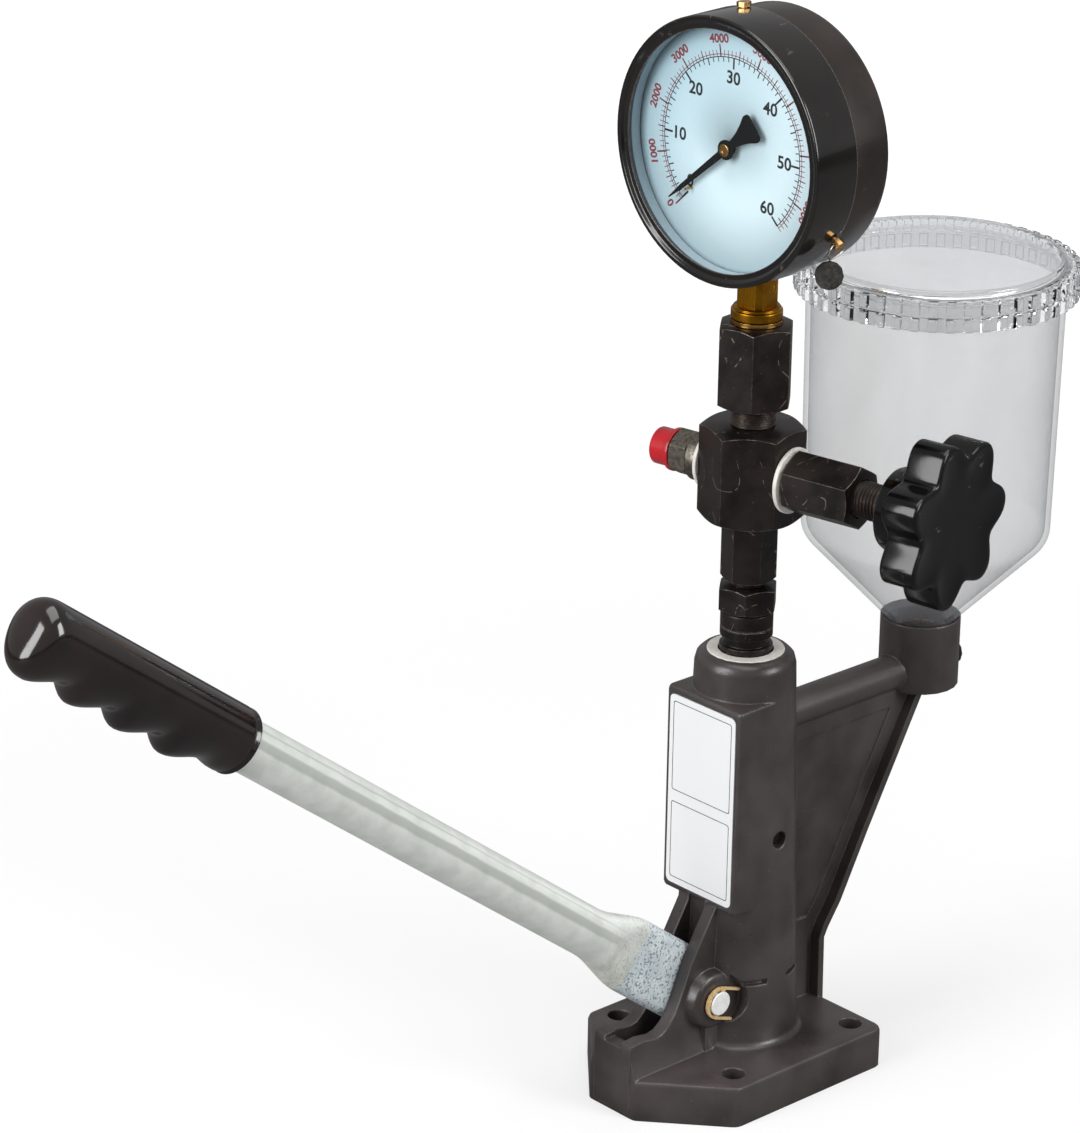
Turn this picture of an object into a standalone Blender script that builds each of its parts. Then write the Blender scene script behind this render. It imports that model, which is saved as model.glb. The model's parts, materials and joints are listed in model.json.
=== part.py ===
"""Hand-lever diesel injector tester.

A cast stand carries a hand pump, a cross fitting with a shut-off valve, a dial gauge and a clear
fuel cup. Metres, +Z up. The origin is on the bench face, on the axis of the pump column. The
label side faces -Y, the lever leaves towards -Y, the cup stands towards +Y and the star knob
towards +X.
"""

import math

import bmesh
import bpy
from mathutils import Matrix, Vector

# Counts
FINE_STEPS = 32
ROUND_STEPS = 20
SMALL_STEPS = 12
TINY_STEPS = 8
FILLET_STEPS = 3
EDGE_STEPS = 2
TAB_STEPS = 4
SECTION_STEPS = 6
HEX_SIDES = 6
HALF_HEX_DEG = 30.0
SHARP_ANGLE = math.radians(32)
MERGE = 0.00001
FLAT_ANGLE = math.radians(0.5)
BLANK_MARGIN_SHARE = 1.02

# Clearances and overruns
GAP = 0.0003
OVERRUN = 0.004
SINK = 0.0015

# Base plate
BASE_THICKNESS = 0.0172
BASE_HALF_WIDTH = 0.0436
BASE_FRONT_REACH = 0.0672
BASE_REAR_REACH = 0.043
BASE_NOSE_HALF_WIDTH = 0.0127
BASE_CHAMFER_REACH = 0.0396
BASE_CORNER_RADIUS = 0.005
BASE_NOSE_RADIUS = 0.004
BASE_EDGE_ROUND = 0.0022
NOSE_STEP = 0.0003
BOLT_HOLE_RADIUS = 0.0048
BOLT_INSET_X = 0.0107
BOLT_FRONT_REACH = 0.0323
BOLT_REAR_INSET = 0.0095

# Column
COLUMN_HEIGHT = 0.180
COLUMN_FOOT_RADIUS = 0.02535
COLUMN_HEAD_RADIUS = 0.0200
COLUMN_SHOULDER = 0.0050
COLUMN_FOOT_FILLET = 0.003
BARREL_BORE_RADIUS = 0.0143
BARREL_SEAT_Z = 0.098
TAPPET_BORE_RADIUS = 0.012
TAPPET_BORE_FLOOR_Z = 0.024
RING_RECESS_DEPTH = 0.002
SLIT_Z = 0.0455
SLIT_HEIGHT = 0.0022
SLIT_DEPTH = 0.002
SLIT_ANGLES_DEG = ((-42.5, -13.0), (11.0, 40.0))
LOCK_HOLE_RADIUS = 0.0037
LOCK_HOLE_RISE = 0.007
LOCK_HOLE_Z = BARREL_SEAT_Z + LOCK_HOLE_RISE

# Label box
LABEL_BOX_HALF_WIDTH = 0.0208
LABEL_BOX_FRONT = 0.0223
LABEL_BOX_BOTTOM_Z = 0.077
LABEL_BOX_DROP = 0.0155
LABEL_BOX_TOP_Z = COLUMN_HEIGHT - LABEL_BOX_DROP
LABEL_BOX_ROUND = 0.0022
LABEL_MARGIN_X = 0.0023
LABEL_MARGIN_Z = 0.003
LABEL_CORNER_RADIUS = 0.003
LABEL_RECESS = 0.0007
LABEL_THICKNESS = 0.0006

# Lever pivot and the ears that carry it
PIVOT_REACH = 0.025
PIVOT_Z = 0.0395
PIN_RADIUS = 0.005
EAR_SLOT_HALF = 0.0045
EAR_THICKNESS = 0.0057
SLOT_FLOOR_Z = 0.022
SLOT_FRONT_WALL = 0.006
SLOT_FRONT_TOP_Z = 0.029
SLOT_WINDOW_TOP_Z = 0.058
SLOT_BACK_DEPTH = 0.002
APRON_HALF_WIDTH = 0.0127
APRON_TOP_Z = 0.0265
APRON_BACK_REACH = 0.018
BOSS_RADIUS = 0.0126
BOSS_RIM_RADIUS = 0.0095
BOSS_HEIGHT = 0.0050
SPOT_FACE_RADIUS = 0.0122
BOSS_RIM_HEIGHT = 0.0012
PILASTER_HALF_WIDTH = 0.0032
PILASTER_DEPTH = 0.0024

# Ear side outline as shares: of the front reach, and of the label box's bottom height
EAR_OUTLINE_SHARES = (
    (1.000, 0.370), (0.985, 0.405), (0.895, 0.412), (0.790, 0.398), (0.735, 0.408),
    (0.685, 0.440), (0.640, 0.490), (0.600, 0.560), (0.512, 0.740), (0.330, 1.010),
)

# Web, flange, arm and cup boss
WEB_THICKNESS = 0.006
WEB_PANEL_DEPTH = 0.0008
WEB_PANEL_MARGIN = 0.0065
FLANGE_HALF_WIDTH = 0.008
FLANGE_THICKNESS = 0.003
ARM_RADIUS = 0.0073
ARM_DROP = 0.0335
ARM_Z = COLUMN_HEIGHT - ARM_DROP
CUP_REACH = 0.0998
CUP_BOSS_RADIUS = 0.0164
CUP_BOSS_DEPTH = 0.0075
CUP_BOSS_BOTTOM_Z = ARM_Z - CUP_BOSS_DEPTH
CUP_BOSS_RISE = 0.0215
CUP_BOSS_TOP_Z = ARM_Z + CUP_BOSS_RISE
CUP_BOSS_FLARE = 0.0022
CUP_SEAT_DEPTH = 0.0055
CUP_SEAT_Z = ARM_Z - CUP_SEAT_DEPTH
FUEL_WAY_RADIUS = 0.0021

# Outer line of the web: shares of the cup reach, and of the boss's bottom height
WEB_OUTLINE_SHARES = ((0.432, 0.107), (0.427, 0.314), (0.448, 0.343), (0.515, 0.413),
                      (0.657, 0.608), (0.964, 1.010))

# Fuel cup
CUP_WALL = 0.0021
CUP_RIM_RADIUS = 0.0515
CUP_LOWER_RADIUS = 0.0500
CUP_CONE_RISE = 0.037
CUP_CONE_TOP_Z = CUP_BOSS_TOP_Z + CUP_CONE_RISE
CUP_CONE_FOOT_RADIUS = 0.0150
CUP_SHOULDER_RADIUS = 0.009
CUP_NECK_RADIUS = 0.0132
CUP_NECK_WALL = 0.0032
CUP_GROOVE_RISE = 0.0115
CUP_GROOVE_Z = ARM_Z + CUP_GROOVE_RISE
CUP_GROOVE_HEIGHT = 0.0026
CUP_GROOVE_DEPTH = 0.0014
STRAINER_WALL = 0.0008
STRAINER_HEIGHT = 0.018

# Cup lid
LID_RADIUS = 0.0566
LID_RIB_DEPTH = 0.0017
LID_RIBS = 50
LID_RIB_SHARE = 0.56
LID_SKIRT_RISE = 0.1015
LID_SKIRT_BOTTOM_Z = CUP_CONE_TOP_Z + LID_SKIRT_RISE
LID_SKIRT_HEIGHT = 0.0125
LID_SKIRT_TOP_Z = LID_SKIRT_BOTTOM_Z + LID_SKIRT_HEIGHT
LID_DISC_RISE = 0.0023
LID_TOP_Z = LID_SKIRT_TOP_Z + LID_DISC_RISE
LID_DISC_RADIUS = 0.0500
LID_DISC_ROUND = 0.0015
LID_GROOVE_DROP = 0.0065
LID_GROOVE_Z = LID_SKIRT_TOP_Z - LID_GROOVE_DROP
LID_GROOVE_HEIGHT = 0.0016
LID_GROOVE_DEPTH = 0.0024
LID_SKIRT_CLEARANCE = 0.0011
LID_ROOF = 0.0018
GASKET_THICKNESS = 0.0012
GASKET_WIDTH = 0.0035

# Cup clamp screw
CLAMP_SCREW_RADIUS = 0.003
CLAMP_SCREW_HEAD_RADIUS = 0.006
CLAMP_SCREW_HEAD = 0.0046
CLAMP_SOCKET_RADIUS = 0.0024
CLAMP_SOCKET_DEPTH = 0.0025

# Pump barrel and what runs in it
PLUNGER_RADIUS = 0.004
PLUNGER_DROP = 0.0034
PLUNGER_TOP_Z = ARM_Z - FUEL_WAY_RADIUS - PLUNGER_DROP
ADAPTOR_THREAD_RADIUS = 0.0096
ADAPTOR_THREAD_DEPTH = 0.0135
DELIVERY_SEAT_DEPTH = 0.0062
DELIVERY_BALL_RADIUS = 0.0028
DELIVERY_CHAMBER_RADIUS = 0.0045
DELIVERY_SPRING_LENGTH = 0.0072
DELIVERY_SPRING_WIRE = 0.0004
DELIVERY_SPRING_TURNS = 4
TAPPET_RADIUS = 0.0115
TAPPET_FOOT_RADIUS = 0.0045
TAPPET_FOOT_HEIGHT = 0.0095
TAPPET_HEIGHT = 0.0075
SPRING_SEAT_THICKNESS = 0.0025
SPRING_SEAT_RADIUS = 0.0112
SPRING_MEAN_RADIUS = 0.0082
SPRING_WIRE_RADIUS = 0.0011
SPRING_TURNS = 7
SPRING_POINTS_PER_TURN = 8
LOCK_SCREW_LENGTH = 0.004
LOCK_SCREW_SETBACK = 0.0025

# Ring around the adaptor in the column's mouth
TOP_RING_RADIUS = 0.0153
TOP_RING_PROUD = 0.0002

# Delivery adaptor, lock nut, riser
ADAPTOR_COLLAR_RADIUS = 0.0105
ADAPTOR_COLLAR_RISE = 0.0025
ADAPTOR_COLLAR_TOP_Z = COLUMN_HEIGHT + ADAPTOR_COLLAR_RISE
ADAPTOR_NECK_RADIUS = 0.0090
ADAPTOR_NECK_LENGTH = 0.0035
ADAPTOR_NECK_TOP_Z = ADAPTOR_COLLAR_TOP_Z + ADAPTOR_NECK_LENGTH
ADAPTOR_HEAD_RADIUS = 0.0104
ADAPTOR_HEAD_LENGTH = 0.0105
ADAPTOR_TOP_Z = ADAPTOR_NECK_TOP_Z + ADAPTOR_HEAD_LENGTH
ADAPTOR_CHAMFER = 0.0009
ADAPTOR_SOCKET_DEPTH = 0.009
OIL_WAY_RADIUS = 0.0016
LOCK_NUT_FLATS = 0.0215
LOCK_NUT_LENGTH = 0.0107
LOCK_NUT_TOP_Z = ADAPTOR_TOP_Z + LOCK_NUT_LENGTH
LOCK_NUT_CHAMFER = 0.0012
RISER_FLATS = 0.019
RISER_STANDOFF = 0.0023
RISER_FOOT_Z = LOCK_NUT_TOP_Z + RISER_STANDOFF
RISER_LENGTH = 0.0250
RISER_TOP_Z = RISER_FOOT_Z + RISER_LENGTH
RISER_STUD_RADIUS = 0.0067
RISER_CHAMFER = 0.0012
RISER_PLUG_RADIUS = 0.0062
RISER_PLUG_LENGTH = 0.0085

# Cross fitting
CROSS_FLATS = 0.036
CROSS_STANDOFF = 0.0005
CROSS_BOTTOM_Z = RISER_TOP_Z + CROSS_STANDOFF
CROSS_LENGTH = 0.0380
CROSS_TOP_Z = CROSS_BOTTOM_Z + CROSS_LENGTH
CROSS_CHAMFER = 0.0020
CROSS_FACE_ANGLE_DEG = 10.7
VALVE_AXIS_RISE = 0.0192
VALVE_AXIS_Z = CROSS_BOTTOM_Z + VALVE_AXIS_RISE
SIDE_SOCKET_RADIUS = 0.0078
SIDE_SOCKET_DEPTH = 0.0100
NECK_RADIUS = 0.0088
NECK_PLUG_RADIUS = 0.0070
NECK_PLUG_LENGTH = 0.0080

# Gauge union and stem
UNION_FLATS = 0.027
NECK_LENGTH = 0.0080
UNION_BOTTOM_Z = CROSS_TOP_Z + NECK_LENGTH
UNION_LENGTH = 0.0330
UNION_TOP_Z = UNION_BOTTOM_Z + UNION_LENGTH
UNION_CHAMFER = 0.0022
UNION_CORNER_ANGLE_DEG = -48.5
STEM_THREAD_RADIUS = 0.0078
STEM_THREAD_LENGTH = 0.0130
GAUGE_WASHER_RADIUS = 0.0102
GAUGE_WASHER_THICKNESS = 0.0016
STEM_COLLAR_RADIUS = 0.0100
STEM_COLLAR_RISE = 0.0070
STEM_COLLAR_TOP_Z = UNION_TOP_Z + STEM_COLLAR_RISE
STEM_FLATS = 0.0130
STEM_CORNER_CUT = 0.0022
STEM_TURN_DEG = 5.0
STEM_INNER_TOP = 0.024

# Gauge, measured from its own axis; depths are positive towards the reader
GAUGE_RISE = 0.0717
GAUGE_Z = UNION_TOP_Z + GAUGE_RISE
GAUGE_YAW_DEG = 2.23
BEZEL_RADIUS = 0.0515
BEZEL_FRONT = 0.0257
BEZEL_REAR = 0.0042
BEZEL_RIM_WIDTH = 0.0052
BEZEL_OPENING_RADIUS = BEZEL_RADIUS - BEZEL_RIM_WIDTH
BEZEL_LIP = 0.0014
BEZEL_WALL = 0.0016
BEZEL_ROUND = 0.0020
BEZEL_OVERHANG = 0.0013
CASE_RADIUS = BEZEL_RADIUS - BEZEL_OVERHANG
CASE_BACK = 0.0157
CASE_WALL = 0.0016
CASE_BACK_ROUND = 0.0030
CASE_LIP_FRONT = 0.0128
GLASS_THICKNESS = 0.0020
DIAL_FACE = 0.0170
DIAL_THICKNESS = 0.0010
DIAL_HOLE_RADIUS = 0.0022
BEZEL_SEAL_WIDTH = 0.0019
MOVEMENT_WIDTH = 0.026
MOVEMENT_HEIGHT = 0.034
MOVEMENT_DEPTH = 0.009
SPINDLE_RADIUS = 0.0014
BOURDON_RADIUS = 0.034
BOURDON_TUBE_RADIUS = 0.0034
BOURDON_SWEEP_DEG = 245.0
BOURDON_STEPS = 24
BOURDON_DEPTH = -0.0005
LINK_WIDTH = 0.0035
LINK_THICKNESS = 0.0012

# Pointer, at rest on the zero pin
POINTER_REST_DEG = 130.7
POINTER_DEPTH = 0.0198
POINTER_THICKNESS = 0.0006
POINTER_LENGTH = 0.0375
POINTER_ROOT_HALF = 0.0013
POINTER_TIP_HALF = 0.0003
POINTER_TAIL_LENGTH = 0.0185
POINTER_TAIL_HALF = 0.0052
POINTER_TAIL_NECK = 0.0090
POINTER_BOSS_RADIUS = 0.0038
POINTER_HUB_RADIUS = 0.0024
POINTER_HUB_HEIGHT = 0.0011
ZERO_PIN_RADIUS = 0.0006
ZERO_PIN_ORBIT = 0.0277
ZERO_PIN_BEHIND_DEG = 4.0

# Case screws and the seal tag that hangs from one
CASE_SCREW_RADIUS = 0.0014
CASE_SCREW_HEAD_RADIUS = 0.0028
CASE_SCREW_HEAD = 0.0018
CASE_SCREW_REACH = 0.0024
CASE_SCREW_DEPTH = 0.0008
CASE_SCREW_ANGLES_DEG = (-6.0, 122.4, 236.0)
SEAL_SCREW_NECK = 0.0006
SEAL_NECK_RADIUS = 0.0009
SEAL_HEAD_RADIUS = 0.0024
SEAL_HEAD = 0.0028
SEAL_HOLE_RADIUS = 0.0008
SEAL_WIRE_RADIUS = 0.00035
SEAL_LOOP_HALF_WIDTH = 0.0031
SEAL_LOOP_DROP = 0.0050
SEAL_HANG_SHARE = 1.35
SEAL_DISC_RADIUS = 0.0054
SEAL_DISC_THICKNESS = 0.0024
SEAL_TURN_DEG = 135.0

# Wire loop from the front of the seal screw's hole to its back, as shares of the half width and drop
SEAL_LOOP_SHARES = ((1.00, 0.00), (1.45, -0.30), (1.60, -0.70), (1.35, -1.00), (0.60, -0.95),
                    (-0.30, -0.78), (-0.95, -0.62), (-1.05, -0.30), (-1.00, 0.00))

# Valve, measured outwards along its axis from the column's axis
VALVE_WASHER_RADIUS = 0.0130
VALVE_WASHER_THICKNESS = 0.0018
VALVE_BODY_FLATS = 0.0220
VALVE_BODY_END = 0.0509
VALVE_BODY_CHAMFER = 0.0016
SPINDLE_THREAD_RADIUS = 0.0074
SPINDLE_INNER_END = 0.0330
SPINDLE_TENON_RADIUS = 0.0048
VALVE_CHAMBER_RADIUS = 0.0034
VALVE_SEAT_REACH = 0.0150
NEEDLE_RADIUS = 0.0028
NEEDLE_TIP_RADIUS = 0.0008
NEEDLE_TIP_LENGTH = 0.0032
VALVE_PITCH = 0.0015
KNOB_BACK = 0.0657
KNOB_HUB_RADIUS = 0.0163
KNOB_HUB_LENGTH = 0.0130
KNOB_FRONT = 0.0943
KNOB_RADIUS = 0.0335
KNOB_LOBE_DEPTH = 0.0075
KNOB_LOBES = 7
KNOB_POINTS_PER_LOBE = 8
KNOB_TURN_DEG = 40.0
KNOB_EDGE_ROUND = 0.0014
KNOB_BORE_DEPTH = 0.016

# Outlet on the far side of the cross fitting
OUTLET_WASHER_RADIUS = 0.0118
OUTLET_WASHER_THICKNESS = 0.0016
OUTLET_COLLAR_RADIUS = 0.0098
OUTLET_COLLAR_LENGTH = 0.0052
OUTLET_FLATS = 0.0165
OUTLET_HEX_LENGTH = 0.0085
OUTLET_CHAMFER = 0.0010
OUTLET_THREAD_RADIUS = 0.0056
OUTLET_THREAD_LENGTH = 0.0076
CAP_RADIUS = 0.0074
CAP_FLANGE_RADIUS = 0.0086
CAP_FLANGE_LENGTH = 0.0020
CAP_LENGTH = 0.0095
CAP_ROOF = 0.0014
CAP_ROUND = 0.0010
CAP_CLEARANCE = 0.0003

# Lever, measured outwards along its axis from the pivot
LEVER_RISE_DEG = 37.2
LEVER_TRAVEL_DEG = 29.0
NOSE_REACH = 0.025
NOSE_RADIUS = 0.005
NOSE_ARM_DROP = 0.0045
NOSE_ARM_RADIUS = 0.0045
TONGUE_ROOT_RADIUS = 0.0072
TONGUE_TAIL = 0.030
TONGUE_TAIL_HALF = 0.0105
TUBE_RADIUS = 0.0100
TUBE_WALL = 0.0017
TUBE_END = 0.3860
FLAT_HALF_THICKNESS = 0.0041
FLAT_HALF_HEIGHT = 0.0152
FLAT_MOUTH = 0.0080
FLAT_MOUTH_SHARES = (1.0, 0.6, 0.0)
FLAT_END = 0.0415
FLARE_END = 0.0720
FLARE_STEPS = 5
TUBE_SIDES = 20
GRIP_START = 0.2873
GRIP_END = 0.3996
GRIP_TOP = 0.0126
GRIP_UNDERSIDE = 0.0169
GRIP_MOUTH_UNDERSIDE = 0.0132
GRIP_HALF_WIDTH = 0.0122
GRIP_GROOVE_DEPTH = 0.0047
GRIP_GROOVES = 4
GRIP_GROOVE_FIRST_SHARE = 0.113
GRIP_GROOVE_LAST_SHARE = 0.772
GRIP_KNUCKLE_SHARE = 0.70
GRIP_NOSE = 0.0105
GRIP_NOSE_POWER = 0.70
GRIP_SIDES = 18
GRIP_STATIONS = 30
GRIP_NOSE_STEPS = 5
GRIP_LIFT = 0.0010
GRIP_MOUTH_ROUND = 0.002
GRIP_MOUTH_SHARE = 0.93

# Pivot pin and its clip
PIN_HEAD_RADIUS = 0.0075
PIN_HEAD_THICKNESS = 0.0024
PIN_PROUD = 0.0026
CLIP_THICKNESS = 0.0012
CLIP_GROOVE_DEPTH = 0.0010
CLIP_HALF_WIDTH = 0.0068
CLIP_BAND = 0.0011
CLIP_LEG = 0.0096
CLIP_TAB_HALF = 0.0012
CLIP_TURN_DEG = 20.0

# Orientations that lay a shape's own X, Y, Z along the axes named
TO_SIDE_PLANE = (math.radians(90), 0.0, math.radians(90))
TO_PLUS_Y = (math.radians(-90), 0.0, 0.0)
TO_MINUS_Y = (math.radians(90), 0.0, 0.0)
TO_PLUS_X = (0.0, math.radians(90), 0.0)

for old in list(bpy.data.objects):
    bpy.data.objects.remove(old, do_unlink=True)

PARTS = bpy.data.collections.new("diesel_injector_tester")
TOOLS = bpy.data.collections.new("cutters_and_unions")
for group in (PARTS, TOOLS):
    bpy.context.scene.collection.children.link(group)


def material(name, colour, roughness, metallic=0.0, alpha=1.0):
    """One Principled material."""
    made = bpy.data.materials.new(name)
    made.use_nodes = True
    shader = made.node_tree.nodes["Principled BSDF"]
    shader.inputs["Base Color"].default_value = (*colour, 1.0)
    shader.inputs["Roughness"].default_value = roughness
    shader.inputs["Metallic"].default_value = metallic
    shader.inputs["Alpha"].default_value = alpha
    made.diffuse_color = (*colour, alpha)
    return made


CAST = material("dark_casting", (0.040, 0.034, 0.033), 0.55)
BLACK_STEEL = material("black_oxide_steel", (0.030, 0.026, 0.025), 0.42, 0.6)
STEEL = material("ground_steel", (0.55, 0.56, 0.57), 0.30, 1.0)
ZINC = material("galvanised_steel", (0.68, 0.70, 0.69), 0.36, 0.9)
GREY_ZINC = material("grey_zinc", (0.26, 0.24, 0.21), 0.45, 0.8)
BRASS = material("brass", (0.62, 0.38, 0.09), 0.32, 1.0)
GOLD_ZINC = material("yellow_zinc", (0.80, 0.55, 0.24), 0.30, 1.0)
GAUGE_BLACK = material("gauge_case_black", (0.016, 0.013, 0.011), 0.38)
DIAL_WHITE = material("dial_pale_blue", (0.72, 0.86, 0.90), 0.50)
POINTER_BLACK = material("pointer_black", (0.010, 0.010, 0.010), 0.45)
CLEAR = material("clear_plastic", (0.90, 0.91, 0.91), 0.08, 0.0, 0.3)
GLASS = material("gauge_glass", (0.95, 0.98, 1.0), 0.02, 0.0, 0.15)
KNOB_BLACK = material("glossy_black", (0.012, 0.011, 0.011), 0.16)
GRIP_BLACK = material("grip_black", (0.018, 0.012, 0.011), 0.18)
RED = material("red_cap", (0.62, 0.02, 0.03), 0.30)
WHITE = material("white_washer", (0.80, 0.78, 0.76), 0.45)
LABEL_WHITE = material("label_white", (0.86, 0.87, 0.88), 0.50)
RUBBER = material("black_rubber", (0.015, 0.015, 0.015), 0.70)
LEAD = material("dark_seal_lead", (0.05, 0.05, 0.045), 0.60, 0.5)


def place(thing, parent=None, location=(0.0, 0.0, 0.0), rotation=(0.0, 0.0, 0.0)):
    """Set a thing's parent, place and turn."""
    thing.parent = parent
    thing.location = location
    thing.rotation_euler = rotation
    return thing


def frame_at(name, location, rotation=(0.0, 0.0, 0.0), parent=None):
    """An empty that other pieces are placed from."""
    made = bpy.data.objects.new(name, None)
    PARTS.objects.link(made)
    return place(made, parent, location, rotation)


def as_part(thing, finish, parent=None, location=(0.0, 0.0, 0.0), rotation=(0.0, 0.0, 0.0)):
    """Make a shape one piece of the tester."""
    PARTS.objects.link(thing)
    thing.data.materials.append(finish)
    if thing.data.polygons:
        thing.data.shade_smooth()
        thing.data.set_sharp_from_angle(angle=SHARP_ANGLE)
    return place(thing, parent, location, rotation)


def as_tool(thing, parent=None, location=(0.0, 0.0, 0.0), rotation=(0.0, 0.0, 0.0)):
    """Make a shape a cutter, or a part of a union."""
    TOOLS.objects.link(thing)
    thing.hide_render = True
    thing.display_type = "WIRE"
    return place(thing, parent, location, rotation)


def combine(thing, operation, tools):
    """Add one exact Boolean modifier for each tool."""
    for tool in tools:
        step = thing.modifiers.new(tool.name, "BOOLEAN")
        step.operation = operation
        step.solver = "EXACT"
        step.object = tool
    return thing


def cut(thing, *tools):
    """Take the tools out of a thing."""
    return combine(thing, "DIFFERENCE", tools)


def fuse(thing, *tools):
    """Join the tools to a thing."""
    return combine(thing, "UNION", tools)


def trim(thing, *tools):
    """Keep what a thing shares with each tool."""
    return combine(thing, "INTERSECT", tools)


def from_bmesh(name, work):
    """An object that holds the finished bmesh."""
    mesh = bpy.data.meshes.new(name)
    bmesh.ops.recalc_face_normals(work, faces=work.faces)
    work.to_mesh(mesh)
    work.free()
    return bpy.data.objects.new(name, mesh)


def cylinder(name, radius, bottom, top, steps=ROUND_STEPS, top_radius=None):
    """A round bar or a cone along Z."""
    work = bmesh.new()
    end = radius if top_radius is None else top_radius
    bmesh.ops.create_cone(work, cap_ends=True, segments=steps, radius1=radius, radius2=end,
                          depth=top - bottom)
    bmesh.ops.translate(work, verts=work.verts, vec=(0.0, 0.0, (top + bottom) / 2))
    return from_bmesh(name, work)


def box(name, low, high):
    """A box between two corners."""
    work = bmesh.new()
    bmesh.ops.create_cube(work, size=1.0)
    for vert in work.verts:
        share = vert.co + Vector((0.5, 0.5, 0.5))
        vert.co = Vector([a + (b - a) * s for a, b, s in zip(low, high, share)])
    return from_bmesh(name, work)


def turned(name, profile, steps=ROUND_STEPS, ring=False):
    """A Z-turned shape from (radius, height) points, down the outer side first."""
    mesh = bpy.data.meshes.new(name)
    count = len(profile)
    edges = [(i, i + 1) for i in range(count - 1)]
    if ring:
        edges.append((count - 1, 0))
    mesh.from_pydata([(r, 0.0, z) for r, z in profile], edges, [])
    made = bpy.data.objects.new(name, mesh)
    turn = made.modifiers.new("turn", "SCREW")
    turn.steps = steps
    turn.render_steps = steps
    turn.use_merge_vertices = True
    turn.merge_threshold = MERGE
    turn.use_smooth_shade = True
    return made


def arc(centre, radius, start_deg, end_deg, steps=FILLET_STEPS):
    """Points of an arc, both ends included."""
    points = []
    for i in range(steps + 1):
        angle = math.radians(start_deg + (end_deg - start_deg) * i / steps)
        points.append((centre[0] + radius * math.cos(angle), centre[1] + radius * math.sin(angle)))
    return points


def rounded(corners):
    """Outline from (x, y, radius) corners, each with a radius drawn as an arc."""
    points = []
    count = len(corners)
    for i, (x, y, radius) in enumerate(corners):
        here = Vector((x, y))
        if not radius:
            points.append((x, y))
            continue
        back = (Vector(corners[i - 1][:2]) - here).normalized()
        ahead = (Vector(corners[(i + 1) % count][:2]) - here).normalized()
        half = back.angle(ahead) / 2
        centre = here + (back + ahead).normalized() * (radius / math.sin(half))
        start = here + back * (radius / math.tan(half)) - centre
        sweep = start.angle_signed(here + ahead * (radius / math.tan(half)) - centre)
        first = math.atan2(start.y, start.x)
        for step in range(FILLET_STEPS + 1):
            angle = first - sweep * step / FILLET_STEPS
            points.append((centre.x + radius * math.cos(angle), centre.y + radius * math.sin(angle)))
    return points


def rounded_box(half_x, half_y, radius, centre=(0.0, 0.0)):
    """Outline of a rectangle with round corners."""
    cx, cy = centre
    signs = ((-1, -1), (1, -1), (1, 1), (-1, 1))
    return rounded([(cx + sx * half_x, cy + sy * half_y, radius) for sx, sy in signs])


def prism(name, outline, bottom, top):
    """A flat outline in X and Y, extruded along Z, as a closed mesh."""
    curve = bpy.data.curves.new(name, "CURVE")
    curve.dimensions = "2D"
    curve.fill_mode = "BOTH"
    curve.extrude = (top - bottom) / 2
    spline = curve.splines.new("POLY")
    spline.points.add(len(outline) - 1)
    for point, (x, y) in zip(spline.points, outline):
        point.co = (x, y, 0.0, 1.0)
    spline.use_cyclic_u = True
    return curve_to_solid(name, curve, (top + bottom) / 2)


def wire(name, points, radius, resolution=1, cyclic=False):
    """A round wire through the points, as a closed mesh."""
    curve = bpy.data.curves.new(name, "CURVE")
    curve.dimensions = "3D"
    curve.bevel_depth = radius
    curve.bevel_resolution = resolution
    curve.use_fill_caps = not cyclic
    spline = curve.splines.new("POLY")
    spline.points.add(len(points) - 1)
    for point, place_xyz in zip(spline.points, points):
        point.co = (*place_xyz, 1.0)
    spline.use_cyclic_u = cyclic
    return curve_to_solid(name, curve)


def curve_to_solid(name, curve, lift=0.0):
    """Turn a curve into a welded mesh object and remove the curve."""
    drawn = bpy.data.objects.new(name + "_drawn", curve)
    bpy.context.scene.collection.objects.link(drawn)
    seen = drawn.evaluated_get(bpy.context.evaluated_depsgraph_get())
    mesh = bpy.data.meshes.new_from_object(seen)
    bpy.data.objects.remove(drawn, do_unlink=True)
    work = bmesh.new()
    work.from_mesh(mesh)
    bpy.data.meshes.remove(mesh)
    bmesh.ops.remove_doubles(work, verts=work.verts, dist=MERGE)
    bmesh.ops.dissolve_limit(work, angle_limit=FLAT_ANGLE, verts=work.verts, edges=work.edges)
    bmesh.ops.translate(work, verts=work.verts, vec=(0.0, 0.0, lift))
    return from_bmesh(name, work)


def rounded_edges(thing, radius, chosen=None, segments=2):
    """Round the edges whose two ends pass the test, or all sharp ones."""
    work = bmesh.new()
    work.from_mesh(thing.data)
    weight = work.edges.layers.float.new("bevel_weight_edge")
    for edge in work.edges:
        sharp = len(edge.link_faces) == 2 and edge.calc_face_angle() > SHARP_ANGLE
        edge[weight] = float(sharp and (chosen is None or chosen(edge)))
    work.to_mesh(thing.data)
    work.free()
    step = thing.modifiers.new("round", "BEVEL")
    step.width = radius
    step.segments = segments
    step.limit_method = "WEIGHT"
    return thing


def hexagon(name, flats, bottom, top, corner_deg=0.0):
    """A six-sided bar along Z, with one corner at the given angle."""
    corner = flats / math.sqrt(3)
    work = bmesh.new()
    bmesh.ops.create_cone(work, cap_ends=True, segments=HEX_SIDES, radius1=corner,
                          radius2=corner, depth=top - bottom)
    bmesh.ops.translate(work, verts=work.verts, vec=(0.0, 0.0, (top + bottom) / 2))
    work.verts.ensure_lookup_table()
    first = work.verts[0].co
    turn = math.radians(corner_deg) - math.atan2(first.y, first.x)
    bmesh.ops.rotate(work, verts=work.verts, matrix=Matrix.Rotation(turn, 3, "Z"))
    return from_bmesh(name, work)


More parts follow.
